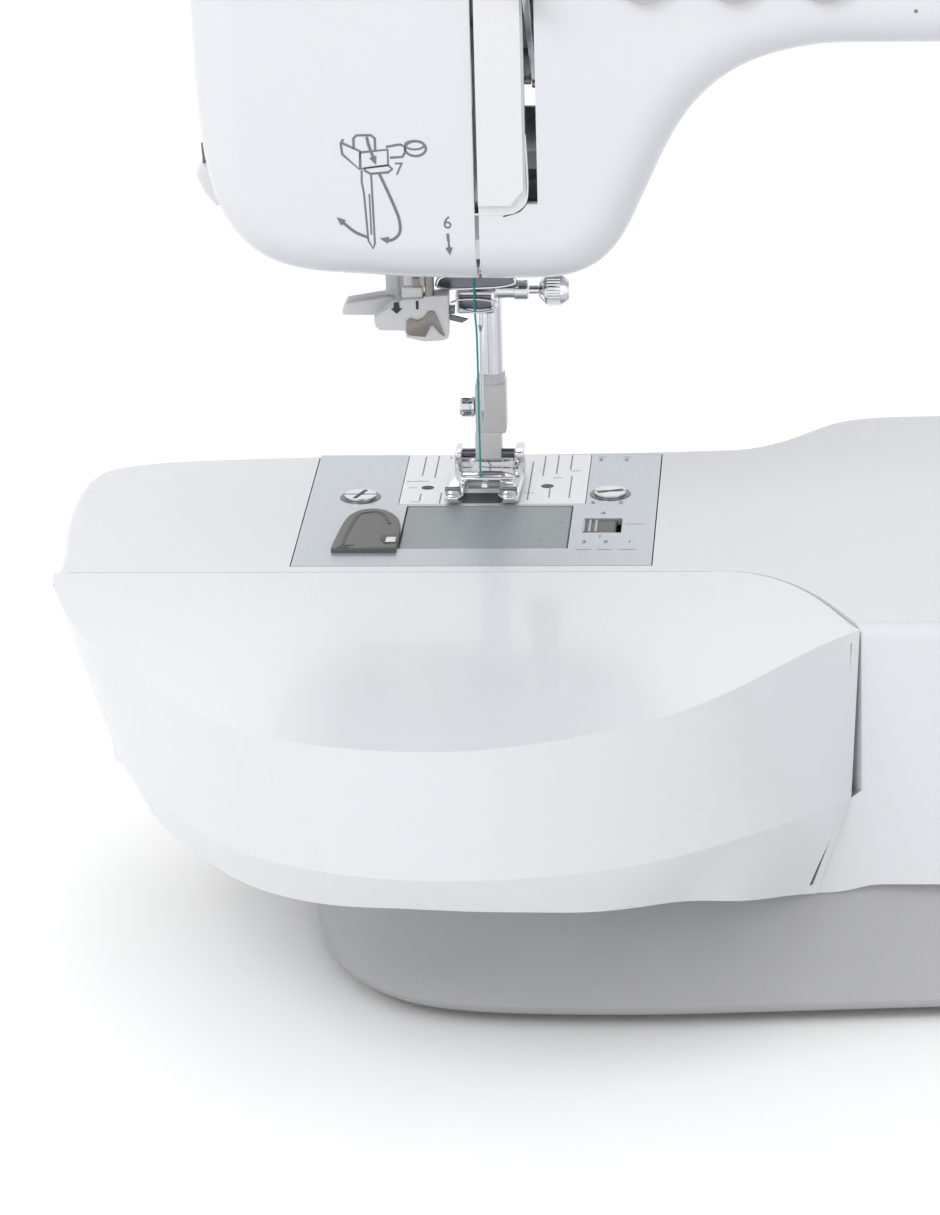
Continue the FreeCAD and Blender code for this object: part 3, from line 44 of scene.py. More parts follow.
# The head's front face, the rounding along its lower edge, and where that rounding ends.
FACE_FRONT = 52.0
FACE_ROUND = 12.0
FACE_FOOT = 70.4

SAME_POINT = 0.001
ROUNDED_FROM = 0.6


def linked(name, data):
    """An object for the data, placed in the scene."""
    obj = bpy.data.objects.new(name, data)
    bpy.context.scene.collection.objects.link(obj)
    return obj


# ---------------------------------------------------------------- finishes


def finish(name, colour, rough, metal=0.0, grain=900.0, shade=0.03, relief=0.04, coat=0.0,
           stretch=(1.0, 1.0, 1.0), patch=35.0, rough_spread=0.05, transmission=0.0):
    """A moulded or metal finish: fine grain in colour and height, and broad patches in its gloss."""
    material = bpy.data.materials.new(name)
    material.use_nodes = True
    tree = material.node_tree
    shader = tree.nodes["Principled BSDF"]
    place = tree.nodes.new("ShaderNodeTexCoord")
    turn = tree.nodes.new("ShaderNodeMapping")
    turn.inputs["Scale"].default_value = stretch
    tree.links.new(place.outputs["Object"], turn.inputs["Vector"])
    fine = tree.nodes.new("ShaderNodeTexNoise")
    fine.inputs["Scale"].default_value = grain
    fine.inputs["Detail"].default_value = 4.0
    broad = tree.nodes.new("ShaderNodeTexNoise")
    broad.inputs["Scale"].default_value = patch
    broad.inputs["Detail"].default_value = 3.0
    for noise in (fine, broad):
        tree.links.new(turn.outputs["Vector"], noise.inputs["Vector"])
    tint = tree.nodes.new("ShaderNodeValToRGB")
    tint.color_ramp.elements[0].position = 0.3
    tint.color_ramp.elements[1].position = 0.7
    tint.color_ramp.elements[0].color = [c * (1 - shade) for c in colour] + [1.0]
    tint.color_ramp.elements[1].color = [min(1.0, c * (1 + shade)) for c in colour] + [1.0]
    both = tree.nodes.new("ShaderNodeMath")
    both.operation = "MULTIPLY_ADD"
    both.inputs[1].default_value = 0.5
    half = tree.nodes.new("ShaderNodeMath")
    half.operation = "MULTIPLY"
    half.inputs[1].default_value = 0.5
    tree.links.new(fine.outputs["Fac"], both.inputs[0])
    tree.links.new(broad.outputs["Fac"], half.inputs[0])
    tree.links.new(half.outputs[0], both.inputs[2])
    tree.links.new(both.outputs[0], tint.inputs["Fac"])
    tree.links.new(tint.outputs["Color"], shader.inputs["Base Color"])
    gloss = tree.nodes.new("ShaderNodeMapRange")
    gloss.inputs["From Min"].default_value = 0.3
    gloss.inputs["From Max"].default_value = 0.7
    gloss.inputs["To Min"].default_value = max(0.02, rough - rough_spread)
    gloss.inputs["To Max"].default_value = rough + rough_spread
    tree.links.new(broad.outputs["Fac"], gloss.inputs["Value"])
    tree.links.new(gloss.outputs["Result"], shader.inputs["Roughness"])
    bump = tree.nodes.new("ShaderNodeBump")
    bump.inputs["Strength"].default_value = relief
    bump.inputs["Distance"].default_value = 0.0002
    tree.links.new(fine.outputs["Fac"], bump.inputs["Height"])
    tree.links.new(bump.outputs["Normal"], shader.inputs["Normal"])
    shader.inputs["Metallic"].default_value = metal
    shader.inputs["Coat Weight"].default_value = coat
    shader.inputs["Coat Roughness"].default_value = 0.08
    shader.inputs["Transmission Weight"].default_value = transmission
    return material


white_shell = finish("white_shell", (0.665, 0.682, 0.71), 0.27, grain=1500, shade=0.006, relief=0.015,
                     coat=0.25, patch=12.0, rough_spread=0.02)
white_trim = finish("white_trim", (0.70, 0.705, 0.72), 0.34, grain=1500, shade=0.015, relief=0.04, coat=0.1)
grey_base = finish("grey_base", (0.40, 0.40, 0.41), 0.42, grain=1800, shade=0.04, relief=0.10)
grey_trim = finish("grey_trim", (0.42, 0.42, 0.43), 0.36, grain=1500, shade=0.03, relief=0.06)
lever_grey = finish("lever_grey", (0.60, 0.60, 0.61), 0.33, grain=1300, shade=0.03, relief=0.05)
# Black for the real black parts, and also painted shade in the winding guide's groove, the motor vents and the
# slider slot.
black_trim_and_painted_shade = finish("black_trim_and_painted_shade", (0.018, 0.018, 0.02), 0.36, grain=1500, shade=0.12, relief=0.08)
black_rubber = finish("black_rubber", (0.03, 0.03, 0.032), 0.72, grain=900, shade=0.15, relief=0.25)
belt_rubber = finish("belt_rubber", (0.02, 0.02, 0.02), 0.68, grain=700, shade=0.15, relief=0.3)
satin_plate = finish("satin_plate", (0.50, 0.53, 0.57), 0.36, metal=0.55, grain=1400, shade=0.05, relief=0.10,
                     stretch=(1.0, 0.12, 1.0))
stitch_steel = finish("stitch_steel", (0.72, 0.735, 0.755), 0.32, metal=0.45, grain=1400, shade=0.04, relief=0.08,
                      stretch=(1.0, 0.12, 1.0))
mirror_chrome = finish("mirror_chrome", (0.78, 0.79, 0.81), 0.09, metal=1.0, grain=500, shade=0.02, relief=0.02,
                       rough_spread=0.04)
# Dark chrome for the real dark metal parts, and also painted shade in the rings round the plate screws.
dark_chrome_and_painted_shade = finish("dark_chrome_and_painted_shade", (0.16, 0.17, 0.185), 0.22, metal=1.0, grain=700, shade=0.1, relief=0.05)
ground_steel = finish("ground_steel", (0.60, 0.60, 0.61), 0.27, metal=1.0, grain=900, shade=0.06, relief=0.10,
                      stretch=(1.0, 1.0, 0.08))
smoked_steel = finish("smoked_steel", (0.27, 0.245, 0.23), 0.28, metal=0.8, grain=900, shade=0.08, relief=0.06,
                      stretch=(1.0, 1.0, 0.2))
cast_alloy = finish("cast_alloy", (0.50, 0.51, 0.52), 0.55, metal=0.9, grain=500, shade=0.08, relief=0.5)
oiled_bronze = finish("oiled_bronze", (0.46, 0.31, 0.13), 0.4, metal=1.0, grain=900, shade=0.1, relief=0.15)
motor_enamel = finish("motor_enamel", (0.09, 0.09, 0.10), 0.4, grain=700, shade=0.1, relief=0.12)
guide_grey = finish("guide_grey", (0.085, 0.083, 0.085), 0.38, grain=1500, shade=0.08, relief=0.10)
print_grey = finish("print_grey", (0.16, 0.17, 0.185), 0.5, grain=900, shade=0.05, relief=0.02)
print_faint = finish("print_faint", (0.36, 0.375, 0.395), 0.5, grain=900, shade=0.05, relief=0.02)
# Dark print for the real printed marks, and also painted shade for slots, holes, screw slots and the channel
# corner.
dark_print_and_painted_shade = finish("dark_print_and_painted_shade", (0.03, 0.03, 0.035), 0.5, grain=900, shade=0.1, relief=0.02)
frosted_cover = finish("frosted_cover", (0.47, 0.52, 0.55), 0.36, grain=1500, shade=0.03, relief=0.12,
                       transmission=0.55)
screen_glass = finish("screen_glass", (0.19, 0.235, 0.215), 0.12, grain=1200, shade=0.05, relief=0.01,
                      coat=0.6)
screen_ink = finish("screen_ink", (0.03, 0.04, 0.04), 0.4, grain=900, shade=0.1, relief=0.02)
board_laminate = finish("board_laminate", (0.03, 0.17, 0.07), 0.38, grain=600, shade=0.15, relief=0.1)
bobbin_clear = finish("bobbin_clear", (0.80, 0.83, 0.85), 0.2, grain=900, shade=0.02, relief=0.02,
                      transmission=0.4)


def twisted_thread(name, colour):
    """Thread whose plies show as slanting bands round it."""
    material = finish(name, colour, 0.55, grain=4000, shade=0.12, relief=0.3)
    tree = material.node_tree
    place = tree.nodes.new("ShaderNodeTexCoord")
    turn = tree.nodes.new("ShaderNodeMapping")
    turn.inputs["Rotation"].default_value = (0.0, 0.9, 0.0)
    bands = tree.nodes.new("ShaderNodeTexWave")
    bands.inputs["Scale"].default_value = 900.0
    bands.inputs["Distortion"].default_value = 1.5
    bump = tree.nodes.new("ShaderNodeBump")
    bump.inputs["Strength"].default_value = 0.6
    bump.inputs["Distance"].default_value = 0.0001
    tree.links.new(place.outputs["Object"], turn.inputs["Vector"])
    tree.links.new(turn.outputs["Vector"], bands.inputs["Vector"])
    tree.links.new(bands.outputs["Fac"], bump.inputs["Height"])
    tree.links.new(bump.outputs["Normal"], tree.nodes["Principled BSDF"].inputs["Normal"])
    return material


teal_thread = twisted_thread("teal_thread", (0.012, 0.33, 0.32))
FINISH_OF_NODE = {
    white_shell: ("bed_front_cover", "bed_rear_cover", "face_cover", "arm_front_cover", "arm_rear_cover",
                  "extension_table", "top_deck", "top_lid"),
    white_trim: ("carrying_handle", "handwheel", "selection_dial", "spool_cap", "bobbin_winder",
                 "thread_channel_plate", "buttonhole_lever", "needle_threader", "thread_cutter",
                 "bobbin_holder"),
    grey_base: ("base_tray", "bottom_covers"),
    grey_trim: ("lifter_lever", "start_stop_button", "reverse_button", "needle_position_button",
                "speed_slider"),
    black_trim_and_painted_shade: ("side_sockets", "power_switch"),
    black_rubber: ("rubber_feet",),
    belt_rubber: ("timing_belts",),
    satin_plate: ("needle_plate",),
    stitch_steel: ("stitch_plate",),
    mirror_chrome: ("plate_screws", "take_up_lever", "presser_bar", "needle_clamp", "needle_clamp_screw",
                    "foot_holder", "presser_foot", "needle"),
    ground_steel: ("feed_dog", "needle_bar", "crankshaft", "connecting_rod", "lower_shaft", "hook",
                   "motor_shaft", "pivot_pins", "presser_spring", "shaft_pulleys"),
    cast_alloy: ("frame",),
    oiled_bronze: ("shaft_bushes",),
    motor_enamel: ("motor",),
    guide_grey: ("bobbin_thread_guide", "cover_release_button"),
    frosted_cover: ("bobbin_cover",),
    bobbin_clear: ("bobbin",),
    teal_thread: ("needle_thread", "bobbin_thread"),
    board_laminate: ("circuit_boards",),
    screen_glass: ("display",),
}
for material, names in FINISH_OF_NODE.items():
    for node_name in names:
        for holder in nodes[node_name].material_slots:
            holder.material = material

# ---------------------------------------------------------------- forms

AXIS_TURN = {"x": Matrix.Rotation(math.pi / 2, 4, "Y"), "y": Matrix.Rotation(-math.pi / 2, 4, "X"),
             "z": Matrix.Identity(4)}


def piece(name, form, body, material, crease=35.0, replaces=()):
    """Turns a form drawn in millimetres into a placed piece that rides on a body."""
    bmesh.ops.remove_doubles(form, verts=form.verts, dist=SAME_POINT)
    bmesh.ops.recalc_face_normals(form, faces=form.faces)
    bmesh.ops.transform(form, matrix=TO_FRAME, verts=form.verts)
    mesh = bpy.data.meshes.new(name)
    form.to_mesh(mesh)
    form.free()
    for face in mesh.polygons:
        face.use_smooth = True
    mesh.set_sharp_from_angle(angle=math.radians(crease))
    obj = linked(name, mesh)
    mesh.materials.append(material)
    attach(obj, body)
    if replaces:
        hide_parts(*replaces)
    return obj


def round_edges(form, faces, amount, segments=3):
    """Rounds the sharp edges of some faces."""
    edges = list({edge for face in faces for edge in face.edges
                  if len(edge.link_faces) == 2 and edge.calc_face_angle() > ROUNDED_FROM})
    bmesh.ops.bevel(form, geom=edges, offset=amount, affect="EDGES", segments=segments, profile=0.5,
                    material=-1, clamp_overlap=True)


def block(form, x0, x1, y0, y1, z0, z1, edge=0.3):
    """A box with rounded edges."""
    made = bmesh.ops.create_cube(form, size=1.0)["verts"]
    bmesh.ops.scale(form, vec=(x1 - x0, y1 - y0, z1 - z0), verts=made)
    bmesh.ops.translate(form, vec=((x0 + x1) / 2, (y0 + y1) / 2, (z0 + z1) / 2), verts=made)
    if edge:
        round_edges(form, {face for vert in made for face in vert.link_faces}, edge)


def turned(form, profile, axis, centre, steps=40):
    """A shape turned about an axis, from (radius, distance along) pairs."""
    part = bmesh.new()
    verts = [part.verts.new((radius, 0, along)) for radius, along in profile]
    edges = [part.edges.new(pair) for pair in zip(verts, verts[1:])]
    bmesh.ops.spin(part, geom=verts + edges, cent=(0, 0, 0), axis=(0, 0, 1), angle=2 * math.pi,
                   steps=steps, use_merge=True)
    bmesh.ops.remove_doubles(part, verts=part.verts, dist=SAME_POINT)
    bmesh.ops.transform(part, matrix=Matrix.Translation(Vector(centre)) @ AXIS_TURN[axis], verts=part.verts)
    mesh = bpy.data.meshes.new("turned")
    part.to_mesh(mesh)
    part.free()
    form.from_mesh(mesh)
    bpy.data.meshes.remove(mesh)


def plate(form, outline, plane, low, high, edge=0.25, segments=2):
    """An outline in a plane, pulled from low to high across it."""
    verts = []
    for a, b in outline:
        verts.append(form.verts.new({"xy": (a, b, low), "xz": (a, low, b), "yz": (low, a, b)}[plane]))
    face = form.faces.new(verts)
    pulled = bmesh.ops.extrude_face_region(form, geom=[face])["geom"]
    lifted = [item for item in pulled if isinstance(item, bmesh.types.BMVert)]
    shift = {"xy": (0, 0, high - low), "xz": (0, high - low, 0), "yz": (high - low, 0, 0)}[plane]
    bmesh.ops.translate(form, vec=shift, verts=lifted)
    if edge:
        round_edges(form, {side for vert in verts + lifted for side in vert.link_faces}, edge, segments)


def strip(form, run, plane, low, high, thick, edge=0.0):
    """Sheet metal bent along a run in a plane and as wide as from low to high."""
    verts = []
    for a, b in run:
        verts.append(form.verts.new({"xz": (a, low, b), "yz": (low, a, b)}[plane]))
    edges = [form.edges.new(pair) for pair in zip(verts, verts[1:])]
    pulled = bmesh.ops.extrude_edge_only(form, edges=edges)["geom"]
    shift = (0, high - low, 0) if plane == "xz" else (high - low, 0, 0)
    lifted = [item for item in pulled if isinstance(item, bmesh.types.BMVert)]
    bmesh.ops.translate(form, vec=shift, verts=lifted)
    faces = [item for item in pulled if isinstance(item, bmesh.types.BMFace)]
    thickened = bmesh.ops.solidify(form, geom=faces, thickness=thick)["geom"]
    if edge:
        solid = set(faces) | {item for item in thickened if isinstance(item, bmesh.types.BMFace)}
        solid |= {face for item in solid for rim in item.edges for face in rim.link_faces}
        round_edges(form, solid, edge, 2)


def smooth_run(points, steps=6):
    """More points on an even curve through the given ones."""
    padded = [points[0]] + list(points) + [points[-1]]
    made = []
    for before, start, end, after in zip(padded, padded[1:], padded[2:], padded[3:]):
        for step in range(steps):
            t = step / steps
            made.append(tuple(
                0.5 * (2 * b + (c - a) * t + (2 * a - 5 * b + 4 * c - d) * t * t
                       + (3 * b - a - 3 * c + d) * t ** 3)
                for a, b, c, d in zip(before, start, end, after)))
    return made + [tuple(points[-1])]


def oval_run(centre, wide, high, count):
    """Points round an oval."""
    return [(centre[0] + wide * math.cos(math.tau * n / count), centre[1] + high * math.sin(math.tau * n / count))
            for n in range(count)]


def laid_stroke(form, points, width, lay, closed=False, depth=0.1):
    """A drawn line of an even width, pressed flat on a surface by lay(a, b, lift)."""
    line = bpy.data.curves.new("stroke", "CURVE")
    line.dimensions = "3D"
    line.bevel_depth = width / 2
    line.bevel_resolution = 1
    line.use_fill_caps = True
    spline = line.splines.new("POLY")
    spline.points.add(len(points) - 1)
    for mark, (a, b) in zip(spline.points, points):
        mark.co = (a, b, 0.0, 1.0)
    spline.use_cyclic_u = closed
    lay_mesh(form, line, lay, depth)


def laid_text(form, text, size, at, lay):
    """A drawn figure, centred on a point of the surface."""
    line = bpy.data.curves.new("numeral", "FONT")
    line.body = text
    line.size = size
    line.align_x, line.align_y = "CENTER", "CENTER"
    line.extrude = 0.2
    line.resolution_u = 3
    lay_mesh(form, line, lay, 0.15, Matrix.Translation((at[0], at[1], 0)))


def lay_mesh(form, line, lay, depth, place=Matrix.Identity(4)):
    """Adds a curve's mesh to a form, with each point laid on a surface."""
    holder = bpy.data.objects.new("holder", line)
    bpy.context.scene.collection.objects.link(holder)
    bpy.context.view_layer.update()
    mesh = bpy.data.meshes.new_from_object(holder.evaluated_get(bpy.context.evaluated_depsgraph_get()))
    for vert in mesh.vertices:
        a, b, lift = place @ vert.co
        vert.co = lay(a, b, lift * depth)
    form.from_mesh(mesh)
    bpy.data.objects.remove(holder)
    bpy.data.curves.remove(line)
    bpy.data.meshes.remove(mesh)


def laid_patch(form, outline, lay):
    """A filled printed shape."""
    form.faces.new([form.verts.new(lay(a, b, 0.12)) for a, b in outline])


def on_face(x, z, lift):
    """A point on the head's front face, which rounds back at its foot."""
    drop = max(0.0, FACE_FOOT + FACE_ROUND - z)
    y = -(FACE_FRONT - FACE_ROUND) - math.sqrt(max(0.0, FACE_ROUND ** 2 - drop ** 2))
    return Vector((x, y - 0.06 - lift, z))


def on_level(height):
    """Lays a drawing on a level surface."""
    return lambda x, y, lift: Vector((x, y, height + 0.02 + lift))


def on_front(depth):
    """Lays a drawing on an upright surface that faces forward."""
    return lambda x, z, lift: Vector((x, -depth - 0.02 - lift, z))

# ---------------------------------------------------------------- softened edges

EDGE_ROUND = {
    0.9: ("bed_front_cover", "bed_rear_cover", "arm_front_cover", "arm_rear_cover", "top_deck", "base_tray"),
    0.5: ("face_cover", "carrying_handle", "handwheel", "selection_dial", "top_lid",
          "start_stop_button", "reverse_button", "needle_position_button", "speed_slider", "lifter_lever",
          "spool_cap", "side_sockets", "bobbin_winder", "rubber_feet"),
    0.35: ("bobbin_cover", "display", "plate_screws", "bobbin_holder",
           "take_up_lever", "power_switch"),
}
for amount, names in EDGE_ROUND.items():
    for node_name in names:
        weld = nodes[node_name].modifiers.new("weld", "WELD")
        weld.merge_threshold = 0.00001
        soft = nodes[node_name].modifiers.new("soft", "BEVEL")
        soft.width = amount / 1000
        soft.segments = 3
        soft.limit_method = "ANGLE"
        soft.angle_limit = math.radians(38)
        soft.use_clamp_overlap = True
        soft.harden_normals = True

# ---------------------------------------------------------------- face cover: drawing, marks, raised rims and a painted shadow line

drawing = bmesh.new()


def drawn(points, width=0.62, closed=False, smooth=False):
    run = smooth_run(points) if smooth else points
    laid_stroke(drawing, run, width, on_face, closed=closed)


def arrow(tip, back, size=2.2):
    """A filled arrow head whose point is at tip, coming from back."""
    along = Vector((tip[0] - back[0], tip[1] - back[1])).normalized()
    side = Vector((-along.y, along.x))
    foot = Vector(tip) - along * size
    laid_patch(drawing, [tuple(tip), tuple(foot + side * size * 0.42), tuple(foot - side * size * 0.42)],
               on_face)


# the clamp block with its bar above
drawn([(-29.1, 109.0), (-29.8, 107.9), (-29.5, 105.2), (-25.4, 101.3), (-25.0, 105.9), (-29.4, 108.0)])
drawn([(-25.1, 105.6), (-18.2, 106.3), (-18.2, 102.3), (-25.0, 101.4), (-25.1, 105.6)])
drawn([(-26.6, 106.6), (-26.6, 109.2), (-25.8, 110.0), (-22.2, 110.0), (-21.3, 109.2), (-21.3, 106.2)])
# its screw
drawn([(-18.6, 107.0), (-15.1, 107.6), (-13.9, 107.0), (-13.9, 105.6), (-14.6, 104.4), (-17.7, 104.2)])
drawn(oval_run((-11.3, 106.5), 2.6, 1.9, 24), closed=True)
drawn(oval_run((-11.5, 107.4), 2.4, 1.1, 24), width=0.5, closed=True)
# the guide plate under it
drawn([(-24.0, 101.6), (-18.2, 102.3), (-17.2, 101.3), (-18.2, 100.5), (-22.6, 100.1), (-24.1, 101.0)],
      closed=True)
# the needle
drawn([(-24.8, 101.0), (-24.9, 98.2), (-24.4, 94.9), (-23.7, 82.9), (-22.6, 80.8), (-22.1, 82.1), (-22.4, 95.9),
       (-22.5, 100.0)], width=0.5)
drawn([(-23.1, 95.0), (-22.9, 84.4)], width=0.4)
# the thread, in through the guide and round to the eye
drawn([(-23.3, 109.6), (-22.9, 107.6), (-21.6, 103.6)], width=0.75, smooth=True)
arrow((-21.2, 102.4), (-22.2, 105.2))
drawn([(-20.6, 100.5), (-17.8, 93.8), (-15.9, 88.4), (-15.9, 84.8), (-17.9, 83.0), (-19.6, 83.2)],
      width=0.75, smooth=True)
arrow((-20.8, 83.5), (-18.9, 83.0))
drawn([(-23.7, 83.7), (-26.7, 85.0), (-29.3, 87.1), (-30.4, 88.0)], width=0.75, smooth=True)
arrow((-31.4, 89.0), (-29.6, 87.4))
laid_text(drawing, "7", 4.6, (-15.6, 101.2), on_face)
laid_text(drawing, "6", 4.6, (-3.9, 87.3), on_face)
drawn([(-3.9, 84.6), (-3.6, 80.6)], width=0.75)
arrow((-3.5, 78.8), (-3.7, 81.6))
laid_text(drawing, "4", 4.6, (12.2, 108.5), on_face)
piece("face_threading_drawing", drawing, "machine", print_grey)

guide_lip = bmesh.new()
for run, width in (([(5.4, 103.4), (5.2, 96.8), (6.9, 93.9), (10.8, 93.5), (12.8, 96.0), (13.0, 103.4)], 0.42),
                   ([(2.9, 89.5), (10.0, 89.5), (13.6, 90.5), (16.1, 94.6), (15.8, 109.9)], 0.5)):
    laid_stroke(guide_lip, smooth_run(run), width, on_front(52.0), depth=0.5)
piece("channel_raised_rims", guide_lip, "machine", white_trim)
# A dark line painted round the channel tongue's lower corner: painted shadow of the slot where it wraps round the
# corner.
shadow_line = bmesh.new()
laid_stroke(shadow_line, smooth_run([(15.9, 92.3), (14.0, 90.2), (10.0, 88.9)]),
            0.34, on_front(52.0), depth=0.2)
piece("channel_corner_painted_shadow", shadow_line, "machine", dark_print_and_painted_shade)

# ---------------------------------------------------------------- thread cutter

cutter = bmesh.new()
plate(cutter, [(-69.4, 93.2), (-68.3, 94.2), (-66.8, 94.4), (-65.7, 94.0), (-63.4, 87.5), (-63.4, 83.9),
               (-65.0, 84.2), (-67.4, 87.2), (-69.4, 91.6)], "xz", -24.0, -14.0, 0.5, 3)
piece("thread_cutter_guard", cutter, "machine", white_trim, replaces=("thread_cutter",))
blade = bmesh.new()
plate(blade, [(-68.4, 99.6), (-67.0, 99.2), (-66.2, 94.0), (-68.1, 94.0)], "xz", -20.4, -19.6, 0.08, 1)
piece("thread_cutter_blade", blade, "machine", dark_chrome_and_painted_shade)

# ---------------------------------------------------------------- needle clamp, screw, bar tip and thread

clamp = bmesh.new()
block(clamp, -6.0, 4.4, -4.6, 4.2, 48.8, 55.2, 0.9)
block(clamp, -6.4, 4.7, -3.6, 3.8, 50.0, 54.4, 1.2)
turned(clamp, [(0, 4.0), (2.15, 4.0), (2.15, 9.0), (2.6, 9.2), (2.6, 12.4), (2.3, 12.8), (0, 12.8)], "x",
       (0, 0, 54.0))
piece("needle_clamp_body", clamp, "needle_bar", mirror_chrome, replaces=("needle_clamp",))
clamp_face = bmesh.new()
block(clamp_face, -5.1, 3.3, -4.9, -4.3, 50.4, 54.2, 0.25)
piece("needle_clamp_window", clamp_face, "needle_bar", dark_chrome_and_painted_shade)
bar_guide = bmesh.new()
lens = smooth_run([(-10.6, 56.4), (-9.4, 58.9), (-3.0, 59.9), (4.0, 59.9), (9.4, 59.0), (9.8, 57.4), (6.3, 56.7),
                   (0.4, 56.3), (-7.4, 56.0), (-10.6, 56.4)])[:-1]
plate(bar_guide, lens, "xz", -6.2, -5.4, 0.15, 1)
piece("bar_thread_guide", bar_guide, "needle_bar", dark_chrome_and_painted_shade)
guide_rim = bmesh.new()
strip(guide_rim, smooth_run([(-10.7, 56.6), (-7.4, 56.0), (0.4, 56.2), (6.3, 56.6), (9.8, 57.6), (9.6, 59.2)]),
      "xz", -6.6, -4.0, 0.5, 0.12)
strip(guide_rim, smooth_run([(-10.7, 56.8), (-9.6, 59.2), (-3.0, 60.2), (4.0, 60.2), (9.4, 59.4)]),
      "xz", -6.4, -3.2, 0.45, 0.12)
strip(guide_rim, smooth_run([(-7.1, 52.3), (-4.9, 53.0), (0.0, 53.2), (4.3, 52.4), (4.4, 51.0), (2.0, 50.2),
                             (-0.9, 50.0), (-4.2, 50.8)]), "xz", -6.4, -5.2, 0.35, 0.1)
piece("bar_thread_guide_rims", guide_rim, "needle_bar", mirror_chrome)

knob = bmesh.new()
turned(knob, [(0, 12.9), (1.1, 12.9), (1.1, 15.2), (2.4, 15.6), (3.9, 17.2), (3.9, 21.4), (2.6, 23.3),
              (0, 23.6)], "x", (0, 0, 54.0), steps=48)
piece("needle_clamp_knob", knob, "needle_bar", mirror_chrome, replaces=("needle_clamp_screw",))
knurl = bmesh.new()
for n in range(30):
    a = math.tau * n / 30
    turned(knurl, [(0, 17.6), (0.26, 17.7), (0.26, 21.1), (0, 21.2)], "x",
           (0, 3.95 * math.cos(a), 54.0 + 3.95 * math.sin(a)), steps=6)
piece("needle_clamp_knurl", knurl, "needle_bar", mirror_chrome)

thread_line = bpy.data.curves.new("thread_line", "CURVE")
thread_line.dimensions = "3D"
thread_line.bevel_depth = 0.26
thread_line.bevel_resolution = 3
thread_line.use_fill_caps = True
thread_spline = thread_line.splines.new("POLY")
thread_run = smooth_run([(-0.9, -6.9, 59.6), (-0.9, -6.7, 55.2), (-0.9, -5.6, 48.8), (-0.9, -1.4, 41.0),
                         (-0.9, -1.0, 24.0), (-0.9, -1.0, 2.2)], 5)
thread_spline.points.add(len(thread_run) - 1)
for mark, (x, y, z) in zip(thread_spline.points, thread_run):
    mark.co = (x, y, z, 1.0)
thread_form = bmesh.new()
lay_mesh(thread_form, thread_line, lambda x, y, z: Vector((x, y, z)), 1.0)
piece("teal_needle_thread", thread_form, "needle_bar", teal_thread,
      replaces=("needle_thread",))

# ---------------------------------------------------------------- needle threader and buttonhole lever

threader = bmesh.new()
plate(threader, [(-26.5, 51.0), (-26.2, 48.6), (-25.1, 47.5), (-18.5, 47.3), (-18.3, 45.5), (-13.6, 44.4),
                 (-8.6, 44.7), (-7.3, 45.3), (-7.1, 57.0), (-13.2, 56.7), (-13.6, 56.1), (-18.9, 55.9),
                 (-21.8, 54.2)], "xz", -14.0, -8.2, 0.6, 3)
block(threader, -19.1, -13.7, -13.2, -8.4, 55.5, 59.0, 0.5)
block(threader, -18.6, -12.0, -12.6, -8.0, 58.6, 118.0, 0.6)
piece("threader_body", threader, "needle_threader", white_trim,
      replaces=("needle_threader",))
post = bmesh.new()
turned(post, [(0, 56.2), (1.25, 56.2), (1.25, 62.4), (0, 62.4)], "z", (-12.0, -12.6, 0))
block(post, -16.2, -14.5, -13.6, -12.9, 58.8, 61.4, 0.12)
piece("threader_post", post, "needle_threader", smoked_steel)
hook_plate = bmesh.new()
plate(hook_plate, [(-18.0, 50.0), (-17.2, 50.9), (-15.1, 50.3), (-13.6, 50.9), (-12.4, 52.6), (-10.9, 52.8),
                   (-10.1, 51.1), (-8.2, 45.9), (-9.6, 46.9), (-11.2, 49.0), (-11.8, 48.8), (-13.3, 45.9),
                   (-17.4, 46.3), (-18.1, 46.9)], "xz", -14.6, -14.0, 0.1, 2)
piece("threader_hook_plate", hook_plate, "needle_threader", smoked_steel)
fine_hook = bmesh.new()
block(fine_hook, -7.4, -5.8, -11.0, -8.6, 50.9, 52.8, 0.15)
plate(fine_hook, [(-7.4, 50.3), (-2.4, 49.0), (-4.1, 48.0), (-7.2, 48.8)], "xz", -9.4, -8.6, 0.08, 1)
piece("threader_fine_hook", fine_hook, "needle_threader", dark_chrome_and_painted_shade)
threader_mark = bmesh.new()
front_mark = on_front(14.0)
laid_patch(threader_mark, [(-21.1, 55.1), (-19.8, 55.1), (-19.7, 53.5), (-18.9, 53.5), (-20.5, 52.0),
                           (-22.0, 53.5), (-21.3, 53.5)], front_mark)
laid_patch(threader_mark, [(-15.5, 53.2), (-14.8, 53.2), (-14.8, 55.5), (-15.5, 55.5)], front_mark)
piece("threader_arrow", threader_mark, "needle_threader", dark_print_and_painted_shade)

lever = bmesh.new()
plate(lever, [(-35.5, 50.3), (-34.3, 52.2), (-23.9, 53.9), (-21.8, 53.7), (-21.8, 48.9), (-24.0, 48.7),
              (-35.4, 48.9)], "xz", -5.0, 1.6, 0.5, 3)
block(lever, -24.1, -20.6, -3.6, 1.6, 50.0, 128.0, 0.5)
block(lever, -21.9, -19.2, -2.6, 0.8, 53.0, 70.0, 0.3)
piece("buttonhole_lever_body", lever, "buttonhole_lever", white_trim,
      replaces=("buttonhole_lever",))

# ---------------------------------------------------------------- presser foot and ankle

